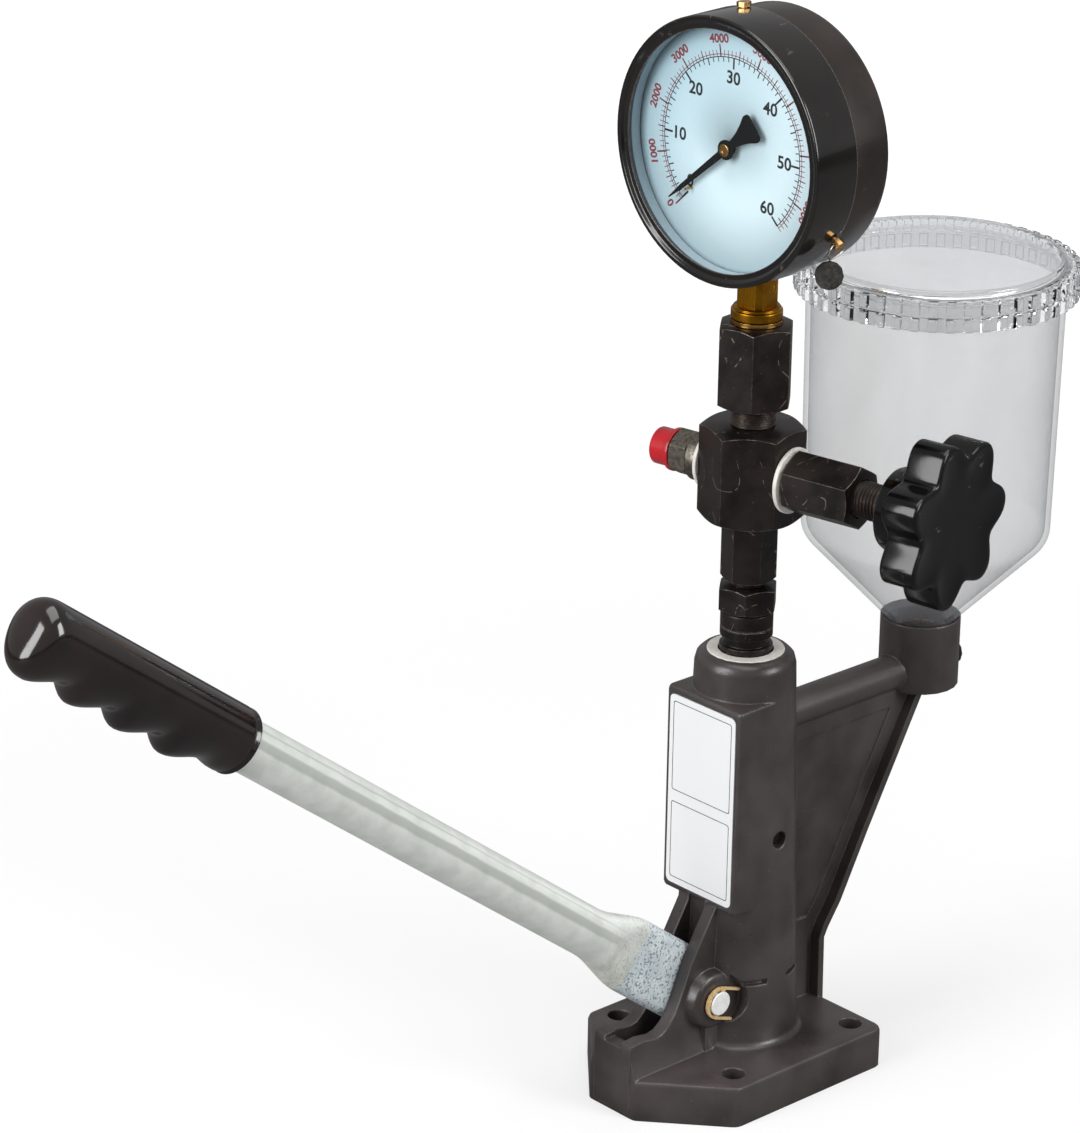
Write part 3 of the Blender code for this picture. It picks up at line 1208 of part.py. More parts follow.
def make_gauge_case():
    """The case, its long bezel, the glass with its seal, and the dial."""
    back = -CASE_BACK
    round_in = CASE_BACK_ROUND
    outer = arc((CASE_RADIUS - round_in, back + round_in), round_in, 0, -90)
    profile = [
        (LIP_RADIUS, CASE_LIP_FRONT), (LIP_RADIUS, BEZEL_REAR), (CASE_RADIUS, BEZEL_REAR - GAP),
        *outer, (0.0, back), (0.0, back + CASE_WALL), (CASE_INNER - round_in, back + CASE_WALL),
        (CASE_INNER, back + CASE_WALL + round_in), (CASE_INNER, BEZEL_REAR - CASE_WALL),
        (LIP_INNER, BEZEL_REAR), (LIP_INNER, CASE_LIP_FRONT),
    ]
    case = as_part(turned("gauge_case", profile, FINE_STEPS, ring=True), GAUGE_BLACK, GAUGE_FRAME)
    cut(case, stem_gap("case_stem_gap"))

    inside = BEZEL_RADIUS - BEZEL_WALL
    opening = BEZEL_OPENING_RADIUS
    edge = arc((BEZEL_RADIUS - BEZEL_ROUND, BEZEL_FRONT - BEZEL_ROUND), BEZEL_ROUND, 90, 0)
    profile = [
        (opening, BEZEL_FRONT - BEZEL_LIP / 2), (opening + BEZEL_LIP / 2, BEZEL_FRONT), *edge,
        (BEZEL_RADIUS, BEZEL_REAR + GAP), (inside, BEZEL_REAR + GAP),
        (inside, BEZEL_FRONT - BEZEL_LIP), (opening, BEZEL_FRONT - BEZEL_LIP),
    ]
    bezel = as_part(turned("gauge_bezel", profile, FINE_STEPS, ring=True), GAUGE_BLACK,
                    GAUGE_FRAME)
    cut(bezel, stem_gap("bezel_stem_gap"))

    glass = cylinder("gauge_glass", GLASS_RADIUS - GAP, GLASS_BACK, GLASS_FRONT, FINE_STEPS)
    as_part(glass, GLASS, GAUGE_FRAME)
    seal_front, seal_back = GLASS_BACK - GAP, DIAL_FACE + GAP
    seal_out, seal_in = GLASS_RADIUS - GAP, GLASS_RADIUS - GAP - BEZEL_SEAL_WIDTH
    seal = [(seal_out, seal_front), (seal_out, seal_back), (seal_in, seal_back),
            (seal_in, seal_front)]
    as_part(turned("glass_seal", seal, ROUND_STEPS, ring=True), RUBBER, GAUGE_FRAME)
    dial_back = DIAL_FACE - DIAL_THICKNESS
    dial = [(GLASS_RADIUS - GAP, DIAL_FACE), (GLASS_RADIUS - GAP, dial_back),
            (DIAL_HOLE_RADIUS, dial_back), (DIAL_HOLE_RADIUS, DIAL_FACE)]
    as_part(turned("gauge_dial", dial, FINE_STEPS, ring=True), DIAL_WHITE, GAUGE_FRAME)


def make_gauge_works():
    """The bourdon tube, the movement behind the dial and its spindle."""
    half_x, half_y = MOVEMENT_WIDTH / 2, MOVEMENT_HEIGHT / 2
    front = DIAL_FACE - DIAL_THICKNESS - GAP
    foot = -STEM_INNER_TOP + GAP
    plate = box("gauge_movement", (-half_x, foot, front - MOVEMENT_DEPTH),
                (half_x, foot + MOVEMENT_HEIGHT, front))
    as_part(plate, BRASS, GAUGE_FRAME)
    spindle = cylinder("movement_spindle", SPINDLE_RADIUS, front - SINK,
                       POINTER_DEPTH - GAP, TINY_STEPS)
    fuse(plate, as_tool(spindle, GAUGE_FRAME))
    turn = math.radians(STEM_TURN_DEG)
    beside = STEM_FLATS / 2 / math.cos(turn) + BOURDON_TUBE_RADIUS * math.tan(turn)
    start = math.asin((beside + BOURDON_TUBE_RADIUS + GAP) / BOURDON_RADIUS) - math.radians(90)
    sweep = math.radians(BOURDON_SWEEP_DEG)
    points = []
    for i in range(BOURDON_STEPS + 1):
        angle = start + sweep * i / BOURDON_STEPS
        points.append((BOURDON_RADIUS * math.cos(angle), BOURDON_RADIUS * math.sin(angle),
                       BOURDON_DEPTH))
    as_part(wire("bourdon_tube", points, BOURDON_TUBE_RADIUS), BRASS, GAUGE_FRAME)
    tip_x, tip_y, depth = points[-1]
    link_z = depth + BOURDON_TUBE_RADIUS + GAP
    link = box("movement_link", (tip_x - LINK_WIDTH / 2, tip_y - LINK_WIDTH, link_z),
               (-half_x - GAP, tip_y, link_z + LINK_THICKNESS))
    as_part(link, BRASS, GAUGE_FRAME)
    riser = box("link_eye", (-half_x - GAP - LINK_WIDTH, tip_y - LINK_WIDTH, link_z),
                (-half_x - GAP, tip_y, front - MOVEMENT_DEPTH / 2))
    fuse(link, as_tool(riser, GAUGE_FRAME))


def make_pointer():
    """The flared pointer on its brass hub, and the pin that stops it at zero."""
    rest = math.radians(90 + POINTER_REST_DEG)
    axis = frame_at("pointer_axis", (0.0, 0.0, 0.0), (0.0, 0.0, rest), GAUGE_FRAME)
    tail, neck = POINTER_TAIL_LENGTH, POINTER_TAIL_NECK
    half, tip, wide = POINTER_ROOT_HALF, POINTER_TIP_HALF, POINTER_TAIL_HALF
    outline = [(POINTER_LENGTH, -tip), (POINTER_LENGTH, tip), (0.0, half), (-neck, half),
               (-tail, wide), (-tail, -wide), (-neck, -half), (0.0, -half)]
    blade = prism("pointer", outline, POINTER_DEPTH, POINTER_DEPTH + POINTER_THICKNESS)
    as_part(blade, POINTER_BLACK, axis)
    boss = cylinder("pointer_boss", POINTER_BOSS_RADIUS, POINTER_DEPTH,
                    POINTER_DEPTH + POINTER_THICKNESS, SMALL_STEPS)
    fuse(blade, as_tool(boss, axis))
    low = POINTER_DEPTH + POINTER_THICKNESS + GAP
    hub = cylinder("pointer_hub", POINTER_HUB_RADIUS, low, low + POINTER_HUB_HEIGHT, SMALL_STEPS)
    as_part(hub, BRASS, axis)
    behind = rest + math.radians(ZERO_PIN_BEHIND_DEG)
    where = (ZERO_PIN_ORBIT * math.cos(behind), ZERO_PIN_ORBIT * math.sin(behind), 0.0)
    pin = cylinder("zero_stop_pin", ZERO_PIN_RADIUS, DIAL_FACE + GAP,
                   POINTER_DEPTH + POINTER_THICKNESS, TINY_STEPS)
    as_part(pin, BRASS, GAUGE_FRAME, where)


def seal_turn():
    """Angle of the seal screw in the gauge's face, from its right-hand side."""
    return math.radians(90 - CASE_SCREW_ANGLES_DEG[1])


def make_case_screws():
    """Three small screws that hold the bezel to the case; one head is drilled for the seal's wire."""
    depth = GAP + BEZEL_WALL + GAP + CASE_SCREW_DEPTH
    names = ("case_screw_top", "case_screw_seal", "case_screw_left")
    for name, angle in zip(names, CASE_SCREW_ANGLES_DEG):
        hub = frame_at(name + "_hub", (0.0, 0.0, BEZEL_REAR + CASE_SCREW_REACH),
                       (0.0, 0.0, math.radians(90 - angle)), GAUGE_FRAME)
        frame = frame_at(name + "_place", (BEZEL_RADIUS + GAP, 0.0, 0.0), TO_PLUS_X, hub)
        shank = [(CASE_SCREW_RADIUS, 0.0), (CASE_SCREW_RADIUS, -depth), (0.0, -depth)]
        if name == "case_screw_seal":
            neck, top = SEAL_SCREW_NECK, SEAL_SCREW_NECK + SEAL_HEAD
            head = [(0.0, top), (SEAL_HEAD_RADIUS, top), (SEAL_HEAD_RADIUS, neck),
                    (SEAL_NECK_RADIUS, neck), (SEAL_NECK_RADIUS, 0.0)]
        else:
            head = [(0.0, CASE_SCREW_HEAD), (CASE_SCREW_HEAD_RADIUS, CASE_SCREW_HEAD),
                    (CASE_SCREW_HEAD_RADIUS, 0.0)]
        screw = as_part(turned(name, head + shank, TINY_STEPS), GOLD_ZINC, frame)
        if name == "case_screw_seal":
            reach = SEAL_HEAD_RADIUS + OVERRUN
            hole = cylinder("seal_wire_hole", SEAL_HOLE_RADIUS, -reach, reach, TINY_STEPS)
            cut(screw, as_tool(hole, frame, (0.0, 0.0, SEAL_SCREW_NECK + SEAL_HEAD / 2), TO_PLUS_X))
        for thing in ("gauge_case", "gauge_bezel"):
            hole = cylinder(name + "_hole", CASE_SCREW_RADIUS + GAP, -depth - OVERRUN, OVERRUN, TINY_STEPS)
            cut(bpy.data.objects[thing], as_tool(hole, frame))


def make_seal_tag():
    """The wire loop through the seal screw's head, and the small disc that hangs from it."""
    turn, yaw = seal_turn(), math.radians(GAUGE_YAW_DEG)
    reach = BEZEL_RADIUS + GAP + SEAL_SCREW_NECK + SEAL_HEAD / 2
    across, depth = reach * math.cos(turn), BEZEL_REAR + CASE_SCREW_REACH
    centre = (across * math.cos(yaw) + depth * math.sin(yaw),
              across * math.sin(yaw) - depth * math.cos(yaw), GAUGE_Z + reach * math.sin(turn))
    tag = frame_at("seal_tag_axis", centre, (0.0, 0.0, yaw - math.radians(90)))
    points = [(SEAL_LOOP_HALF_WIDTH * a, 0.0, SEAL_LOOP_DROP * b) for a, b in SEAL_LOOP_SHARES]
    as_part(wire("seal_wire", points, SEAL_WIRE_RADIUS, cyclic=True), STEEL, tag)
    drop = SEAL_LOOP_DROP + SEAL_WIRE_RADIUS + GAP + SEAL_DISC_RADIUS
    disc = cylinder("seal_disc", SEAL_DISC_RADIUS, -SEAL_DISC_THICKNESS / 2,
                    SEAL_DISC_THICKNESS / 2, SMALL_STEPS)
    hang = frame_at("seal_disc_place", (SEAL_LOOP_HALF_WIDTH * SEAL_HANG_SHARE, 0.0, -drop),
                    (0.0, 0.0, math.radians(SEAL_TURN_DEG)), tag)
    as_part(disc, LEAD, hang, rotation=TO_MINUS_Y)


SIDE_PLUG_RADIUS = SIDE_SOCKET_RADIUS - GAP
SIDE_PLUG_END = CROSS_FACE - SIDE_SOCKET_DEPTH + GAP
VALVE_BODY_START = CROSS_FACE + GAP + VALVE_WASHER_THICKNESS + GAP
OUTLET_START = CROSS_FACE + GAP + OUTLET_WASHER_THICKNESS + GAP


def flat_washer(name, radius, thickness, finish, frame):
    """A flat sealing ring against a side face of the cross fitting."""
    low = CROSS_FACE + GAP
    high = low + thickness
    hole = SIDE_PLUG_RADIUS + GAP
    ring = [(radius, high), (radius, low), (hole, low), (hole, high)]
    as_part(turned(name, ring, ring=True), finish, frame)


def make_valve():
    """The gauge shut-off valve: washer, body, needle, threaded spindle and star knob."""
    frame = VALVE_FRAME
    flat_washer("valve_washer", VALVE_WASHER_RADIUS, VALVE_WASHER_THICKNESS, WHITE, frame)
    body = hex_bar("valve_body", VALVE_BODY_FLATS, VALVE_BODY_START, VALVE_BODY_END,
                   VALVE_BODY_CHAMFER, BLACK_STEEL, 0.0, frame)
    plug = cylinder("valve_plug", SIDE_PLUG_RADIUS, SIDE_PLUG_END, VALVE_BODY_START + SINK, ROUND_STEPS)
    fuse(body, as_tool(plug, frame))
    floor = SPINDLE_INNER_END - VALVE_PITCH - GAP
    drilled(body, "valve_bore", SPINDLE_THREAD_RADIUS + GAP, floor, VALVE_BODY_END + OVERRUN, frame)
    drilled(body, "valve_chamber", VALVE_CHAMBER_RADIUS, VALVE_SEAT_REACH, floor + SINK, frame)
    drilled(body, "valve_way", OIL_WAY_RADIUS, SIDE_PLUG_END - OVERRUN, VALVE_SEAT_REACH + SINK,
            frame, TINY_STEPS)

    tip = VALVE_SEAT_REACH + VALVE_PITCH + GAP
    needle_top = SPINDLE_INNER_END - GAP
    profile = [(0.0, needle_top), (NEEDLE_RADIUS, needle_top),
               (NEEDLE_RADIUS, tip + NEEDLE_TIP_LENGTH), (NEEDLE_TIP_RADIUS, tip), (0.0, tip)]
    as_part(turned("valve_needle", profile, SMALL_STEPS), STEEL, frame)
    thread, tenon = SPINDLE_THREAD_RADIUS, SPINDLE_TENON_RADIUS
    shoulder, end = KNOB_BACK - GAP, KNOB_BACK + KNOB_BORE_DEPTH - GAP
    profile = [(0.0, end), (tenon, end), (tenon, shoulder), (thread, shoulder),
               (thread, SPINDLE_INNER_END), (0.0, SPINDLE_INNER_END)]
    as_part(turned("valve_spindle", profile, ROUND_STEPS), BLACK_STEEL, frame)

    outline = []
    count = KNOB_LOBES * KNOB_POINTS_PER_LOBE
    for i in range(count):
        angle = math.tau * i / count
        wave = (1 - math.cos(KNOB_LOBES * angle)) / 2
        radius = KNOB_RADIUS - KNOB_LOBE_DEPTH * wave
        turned_angle = angle + math.radians(KNOB_TURN_DEG)
        outline.append((radius * math.cos(turned_angle), radius * math.sin(turned_angle)))
    back = KNOB_BACK + KNOB_HUB_LENGTH
    knob = prism("valve_knob", outline, back, KNOB_FRONT)

    def on_rim(edge):
        heights = [vert.co.z for vert in edge.verts]
        return max(heights) - min(heights) < MERGE

    as_part(rounded_edges(knob, KNOB_EDGE_ROUND, on_rim), KNOB_BLACK, frame)
    hub = cylinder("knob_hub", KNOB_HUB_RADIUS, KNOB_BACK, back + SINK, ROUND_STEPS)
    fuse(knob, as_tool(hub, frame))
    drilled(knob, "knob_bore", tenon + GAP, KNOB_BACK - OVERRUN, KNOB_BACK + KNOB_BORE_DEPTH, frame)


def make_outlet():
    """The outlet for the injector pipe: washer, nipple and the red cap on its thread."""
    frame = OUTLET_FRAME
    flat_washer("outlet_washer", OUTLET_WASHER_RADIUS, OUTLET_WASHER_THICKNESS, WHITE, frame)
    collar_end = OUTLET_START + OUTLET_COLLAR_LENGTH
    hex_end = collar_end + OUTLET_HEX_LENGTH
    thread_end = hex_end + OUTLET_THREAD_LENGTH
    nipple = hex_bar("outlet_nipple", OUTLET_FLATS, collar_end, hex_end, OUTLET_CHAMFER, GREY_ZINC,
                     0.0, frame)
    collar = cylinder("outlet_collar", OUTLET_COLLAR_RADIUS, OUTLET_START, collar_end + SINK, ROUND_STEPS)
    plug = cylinder("outlet_plug", SIDE_PLUG_RADIUS, SIDE_PLUG_END, OUTLET_START + SINK, ROUND_STEPS)
    thread = cylinder("outlet_thread", OUTLET_THREAD_RADIUS, hex_end - SINK, thread_end, SMALL_STEPS)
    fuse(nipple, as_tool(collar, frame), as_tool(plug, frame), as_tool(thread, frame))
    drilled(nipple, "outlet_way", OIL_WAY_RADIUS, SIDE_PLUG_END - OVERRUN, thread_end + OVERRUN,
            frame, TINY_STEPS)
    foot = hex_end + GAP
    top = foot + CAP_LENGTH
    bore = OUTLET_THREAD_RADIUS + CAP_CLEARANCE
    edge = arc((CAP_RADIUS - CAP_ROUND, top - CAP_ROUND), CAP_ROUND, 90, 0, EDGE_STEPS)
    profile = [
        (0.0, top), *edge, (CAP_RADIUS, foot + CAP_FLANGE_LENGTH),
        (CAP_FLANGE_RADIUS, foot + CAP_FLANGE_LENGTH), (CAP_FLANGE_RADIUS, foot), (bore, foot),
        (bore, top - CAP_ROOF), (0.0, top - CAP_ROOF),
    ]
    as_part(turned("outlet_cap", profile, SMALL_STEPS), RED, frame)


CUP_FRAME = frame_at("cup_axis", (0.0, CUP_REACH, 0.0))
LID_CEILING_Z = LID_SKIRT_TOP_Z - LID_ROOF
CUP_RIM_Z = LID_CEILING_Z - GAP - GASKET_THICKNESS - GAP
CUP_FOOT_Z = CUP_SEAT_Z + GAP
CUP_NECK_BORE = CUP_NECK_RADIUS - CUP_NECK_WALL
LID_INNER_RADIUS = CUP_RIM_RADIUS + LID_SKIRT_CLEARANCE


def make_cup():
    """The clear fuel cup, its neck in the boss, with O-ring, strainer and clamp screw."""
    cone_foot_z = CUP_BOSS_TOP_Z + GAP
    slope = math.atan2(CUP_CONE_TOP_Z - cone_foot_z, CUP_LOWER_RADIUS - CUP_CONE_FOOT_RADIUS)
    lift = CUP_WALL * (1 / math.cos(slope) - math.tan(slope))
    inner_corner = CUP_LOWER_RADIUS - CUP_WALL
    inner_cone_foot_z = (CUP_CONE_TOP_Z + CUP_WALL / math.cos(slope)
                         - (CUP_LOWER_RADIUS - CUP_NECK_BORE) * math.tan(slope))
    floor = CUP_FOOT_Z + CUP_WALL
    neck, groove = CUP_NECK_RADIUS, CUP_NECK_RADIUS - CUP_GROOVE_DEPTH
    groove_top = CUP_GROOVE_Z + CUP_GROOVE_HEIGHT
    loop = [
        (0.0, floor, 0), (CUP_NECK_BORE, floor, 0), (CUP_NECK_BORE, inner_cone_foot_z, 0),
        (inner_corner, CUP_CONE_TOP_Z + lift, CUP_SHOULDER_RADIUS - CUP_WALL),
        (CUP_RIM_RADIUS - CUP_WALL, CUP_RIM_Z, 0), (CUP_RIM_RADIUS, CUP_RIM_Z, 0),
        (CUP_LOWER_RADIUS, CUP_CONE_TOP_Z, CUP_SHOULDER_RADIUS),
        (CUP_CONE_FOOT_RADIUS, cone_foot_z, 0), (neck, CUP_BOSS_TOP_Z - CUP_BOSS_FLARE, 0),
        (neck, groove_top, 0), (groove, groove_top, 0), (groove, CUP_GROOVE_Z, 0),
        (neck, CUP_GROOVE_Z, 0), (neck, CUP_FOOT_Z, 0), (0.0, CUP_FOOT_Z, 0),
    ]
    cup = as_part(turned("fuel_cup", rounded(loop), FINE_STEPS), CLEAR, CUP_FRAME)
    port = cylinder("cup_port", FUEL_WAY_RADIUS, -neck - OVERRUN, 0.0, TINY_STEPS)
    cut(cup, as_tool(port, CUP_FRAME, (0.0, 0.0, ARM_Z), TO_PLUS_Y))

    room = CUP_BORE_RADIUS - groove
    thick = room / 2 - GAP
    mid = (CUP_GROOVE_Z + groove_top) / 2
    circle = arc((groove + room / 2, mid), thick, 90, -270, SECTION_STEPS)[:-1]
    as_part(turned("cup_o_ring", circle, ROUND_STEPS, ring=True), RUBBER, CUP_FRAME)
    low = floor + GAP
    sleeve_out = CUP_NECK_BORE - GAP
    sleeve_in = sleeve_out - STRAINER_WALL
    sleeve = [(sleeve_out, low + STRAINER_HEIGHT), (sleeve_out, low), (sleeve_in, low),
              (sleeve_in, low + STRAINER_HEIGHT)]
    as_part(turned("cup_strainer", sleeve, SMALL_STEPS, ring=True), BRASS, CUP_FRAME)

    tip = CUP_NECK_RADIUS + GAP
    seat = CUP_BOSS_RADIUS + GAP
    top = seat + CLAMP_SCREW_HEAD
    dome = arc((CLAMP_SCREW_HEAD_RADIUS - CLAMP_SOCKET_DEPTH, top - CLAMP_SOCKET_DEPTH),
               CLAMP_SOCKET_DEPTH, 90, 0)
    profile = [
        (0.0, top - CLAMP_SOCKET_DEPTH), (CLAMP_SOCKET_RADIUS, top - CLAMP_SOCKET_DEPTH),
        (CLAMP_SOCKET_RADIUS, top), *dome, (CLAMP_SCREW_HEAD_RADIUS, seat),
        (CLAMP_SCREW_RADIUS, seat), (CLAMP_SCREW_RADIUS, tip), (0.0, tip),
    ]
    as_part(turned("cup_clamp_screw", profile, SMALL_STEPS), BLACK_STEEL, CUP_FRAME,
            (0.0, 0.0, ARM_Z), TO_PLUS_Y)


def make_lid():
    """The clear screw lid with two tiers of grip ribs, and the gasket under its roof."""
    outline = []
    step = math.tau / LID_RIBS
    half = step * LID_RIB_SHARE / 2
    for i in range(LID_RIBS):
        middle = i * step
        for radius, angle in ((LID_RADIUS - LID_RIB_DEPTH, middle - half),
                              (LID_RADIUS, middle - half), (LID_RADIUS, middle + half),
                              (LID_RADIUS - LID_RIB_DEPTH, middle + half)):
            outline.append((radius * math.cos(angle), radius * math.sin(angle)))
    lid = prism("cup_lid", outline, LID_SKIRT_BOTTOM_Z, LID_SKIRT_TOP_Z)
    as_part(lid, CLEAR, CUP_FRAME)
    edge = arc((LID_DISC_RADIUS - LID_DISC_ROUND, LID_TOP_Z - LID_DISC_ROUND), LID_DISC_ROUND,
               90, 0, EDGE_STEPS)
    disc = [(0.0, LID_TOP_Z), *edge, (LID_DISC_RADIUS, LID_SKIRT_TOP_Z - SINK),
            (0.0, LID_SKIRT_TOP_Z - SINK)]
    fuse(lid, as_tool(turned("lid_disc", disc, FINE_STEPS), CUP_FRAME))
    deep, out = LID_RADIUS - LID_GROOVE_DEPTH, LID_RADIUS + OVERRUN
    low, high = LID_GROOVE_Z - LID_GROOVE_HEIGHT / 2, LID_GROOVE_Z + LID_GROOVE_HEIGHT / 2
    groove = [(out, high), (out, low), (deep, low), (deep, high)]
    cut(lid, as_tool(turned("lid_groove", groove, ROUND_STEPS, ring=True), CUP_FRAME))
    wide, raised = LID_INNER_RADIUS, LID_DISC_RADIUS - LID_ROOF
    ceiling = LID_TOP_Z - LID_ROOF
    below = LID_SKIRT_BOTTOM_Z - OVERRUN
    hollow = [(0.0, ceiling), (raised, ceiling), (raised, LID_CEILING_Z), (wide, LID_CEILING_Z),
              (wide, below), (0.0, below)]
    cut(lid, as_tool(turned("lid_hollow", hollow, FINE_STEPS), CUP_FRAME))
    low = CUP_RIM_Z + GAP
    high = low + GASKET_THICKNESS
    outer = LID_INNER_RADIUS - GAP
    ring = [(outer, high), (outer, low), (outer - GASKET_WIDTH, low), (outer - GASKET_WIDTH, high)]
    as_part(turned("lid_gasket", ring, ROUND_STEPS, ring=True), CLEAR, CUP_FRAME)


LEVER_FRAME = frame_at("lever_pivot", (0.0, -PIVOT_REACH, PIVOT_Z),
                       (-math.radians(LEVER_RISE_DEG), 0.0, 0.0))
TONGUE_HALF = FLAT_HALF_THICKNESS - TUBE_WALL - GAP


def loft(name, rings, joined=False):
    """Skin over rings of points; joined runs the last ring back to the first, else both are capped."""
    work = bmesh.new()
    made = [[work.verts.new(point) for point in ring] for ring in rings]
    pairs = list(zip(made, made[1:]))
    if joined:
        pairs.append((made[-1], made[0]))
    else:
        work.faces.new(made[0])
        work.faces.new(made[-1])
    for one, two in pairs:
        count = len(one)
        for i in range(count):
            work.faces.new((one[i], one[(i + 1) % count], two[(i + 1) % count], two[i]))
    return from_bmesh(name, work)


def stadium(along, half_height, half_thickness):
    """A ring across the lever: two half circles joined by straight sides, flat sides facing X."""
    straight = half_height - half_thickness
    ring = []
    for i in range(TUBE_SIDES):
        angle = math.tau * (i + 0.5) / TUBE_SIDES
        lift = straight if math.sin(angle) > 0 else -straight
        ring.append((half_thickness * math.cos(angle), -along,
                     half_thickness * math.sin(angle) + lift))
    return ring


def tube_section(along, wall):
    """Half height and half thickness of the lever tube at a distance from the pivot."""
    share = min(max((along - FLAT_END) / (FLARE_END - FLAT_END), 0.0), 1.0)
    blend = share * share * (3 - 2 * share)
    height = FLAT_HALF_HEIGHT + (TUBE_RADIUS - FLAT_HALF_HEIGHT) * blend
    thick = FLAT_HALF_THICKNESS + (TUBE_RADIUS - FLAT_HALF_THICKNESS) * blend
    if along < 0:
        height = math.sqrt(FLAT_HALF_HEIGHT ** 2 - along ** 2)
    return height - wall, thick - wall


def make_lever_tube():
    """The steel tube of the lever, pressed flat where it straddles the tongue at the pivot."""
    stations = [-FLAT_MOUTH * share for share in FLAT_MOUTH_SHARES]
    flare = FLARE_END - FLAT_END
    stations += [FLAT_END + flare * i / FLARE_STEPS for i in range(FLARE_STEPS + 1)]
    stations.append(TUBE_END)
    outer = [stadium(along, *tube_section(along, 0.0)) for along in stations]
    inner = [stadium(along, *tube_section(along, TUBE_WALL)) for along in stations]
    tube = as_part(loft("lever_tube", outer + inner[::-1], joined=True), ZINC, LEVER_FRAME)
    cut(tube, lever_pin_hole("tube_pin_hole"))


def lever_pin_hole(name):
    """Cutter for the pivot pin's hole across the lever."""
    half = FLAT_HALF_THICKNESS + OVERRUN
    hole = cylinder(name, PIN_HOLE_RADIUS, -half, half, SMALL_STEPS)
    return as_tool(hole, LEVER_FRAME, rotation=TO_PLUS_X)


def capsule(start, start_radius, end, end_radius, steps=TINY_STEPS):
    """Outline round two circles, counter-clockwise."""
    along = Vector(end) - Vector(start)
    heading = math.degrees(math.atan2(along.y, along.x))
    lean = math.degrees(math.acos((start_radius - end_radius) / along.length))
    first = arc(end, end_radius, heading - lean, heading + lean, steps)
    return first + arc(start, start_radius, heading + lean, heading + 360 - lean, steps)


def make_lever_tongue():
    """The steel tongue in the lever's flat end, whose nose lifts the tappet."""
    aim = math.radians(LEVER_RISE_DEG - NOSE_DROP_DEG)
    nose = (NOSE_REACH * math.cos(aim), NOSE_REACH * math.sin(aim))
    low = (nose[0] + NOSE_ARM_DROP * math.sin(aim), nose[1] - NOSE_ARM_DROP * math.cos(aim))
    half = TONGUE_HALF
    arm_outline = capsule((0.0, 0.0), TONGUE_ROOT_RADIUS, low, NOSE_ARM_RADIUS)
    tongue = as_part(prism("lever_tongue", arm_outline, -half, half), STEEL, LEVER_FRAME,
                     rotation=TO_SIDE_PLANE)
    pad = cylinder("nose_pad", NOSE_RADIUS, -half, half, SMALL_STEPS)
    pad = as_tool(pad, LEVER_FRAME, (0.0, nose[0], nose[1]), TO_PLUS_X)
    lean = [(-TONGUE_TAIL, -TONGUE_TAIL_HALF), (0.0, -TONGUE_ROOT_RADIUS),
            (0.0, TONGUE_ROOT_RADIUS), (-TONGUE_TAIL, TONGUE_TAIL_HALF)]
    tail = as_tool(prism("tongue_tail", lean, -half, half), LEVER_FRAME, rotation=TO_SIDE_PLANE)
    fuse(tongue, pad, tail)
    cut(tongue, lever_pin_hole("tongue_pin_hole"))


def finger_groove(along):
    """How far the grip's underside is drawn in: steeply before a groove, gently after it."""
    share = (along - GRIP_START) / (GRIP_END - GRIP_START)
    pitch = (GRIP_GROOVE_LAST_SHARE - GRIP_GROOVE_FIRST_SHARE) / (GRIP_GROOVES - 1)
    turns = (share - GRIP_GROOVE_FIRST_SHARE) / pitch
    steep = 1 - GRIP_KNUCKLE_SHARE
    shallow = GRIP_UNDERSIDE - GRIP_MOUTH_UNDERSIDE if turns < 0 else 0.0
    if not -steep < turns < GRIP_GROOVES - steep:
        return shallow
    part = turns % 1
    if part < GRIP_KNUCKLE_SHARE:
        swing = math.pi * part / GRIP_KNUCKLE_SHARE
    else:
        swing = math.pi * (1 - part) / steep
    return shallow + (GRIP_GROOVE_DEPTH - shallow) * (1 + math.cos(swing)) / 2


def grip_ring(along, scale):
    """A ring of the grip, with its underside drawn in at the finger grooves."""
    under = GRIP_UNDERSIDE - finger_groove(along)
    ring = []
    for i in range(GRIP_SIDES):
        angle = math.tau * (i + 0.5) / GRIP_SIDES
        reach = GRIP_TOP if math.sin(angle) > 0 else under
        ring.append((GRIP_HALF_WIDTH * scale * math.cos(angle), -along,
                     reach * scale * math.sin(angle) + GRIP_LIFT * (1 - scale)))
    return ring


def make_grip():
    """The moulded grip over the tube's end, with a blind bore and a round nose."""
    bore = TUBE_RADIUS + GAP
    blind = TUBE_END + GAP
    inside = []
    for along in (blind, GRIP_START):
        ring = []
        for i in range(GRIP_SIDES):
            angle = math.tau * (i + 0.5) / GRIP_SIDES
            ring.append((bore * math.cos(angle), -along, bore * math.sin(angle)))
        inside.append(ring)
    straight = GRIP_END - GRIP_NOSE
    outside = [grip_ring(GRIP_START, GRIP_MOUTH_SHARE)]
    first = GRIP_START + GRIP_MOUTH_ROUND
    for i in range(GRIP_STATIONS + 1):
        outside.append(grip_ring(first + (straight - first) * i / GRIP_STATIONS, 1.0))
    for i in range(1, GRIP_NOSE_STEPS + 1):
        angle = math.radians(90) * i / (GRIP_NOSE_STEPS + 1)
        reach, scale = math.sin(angle) ** GRIP_NOSE_POWER, math.cos(angle) ** GRIP_NOSE_POWER
        outside.append(grip_ring(straight + GRIP_NOSE * reach, scale))
    as_part(loft("grip", inside + outside), GRIP_BLACK, LEVER_FRAME)


PIN_FRAME = frame_at("pivot_pin_axis", (0.0, -PIVOT_REACH, PIVOT_Z), TO_PLUS_X)
CLIP_LOW = BOSS_END + GAP + GAP


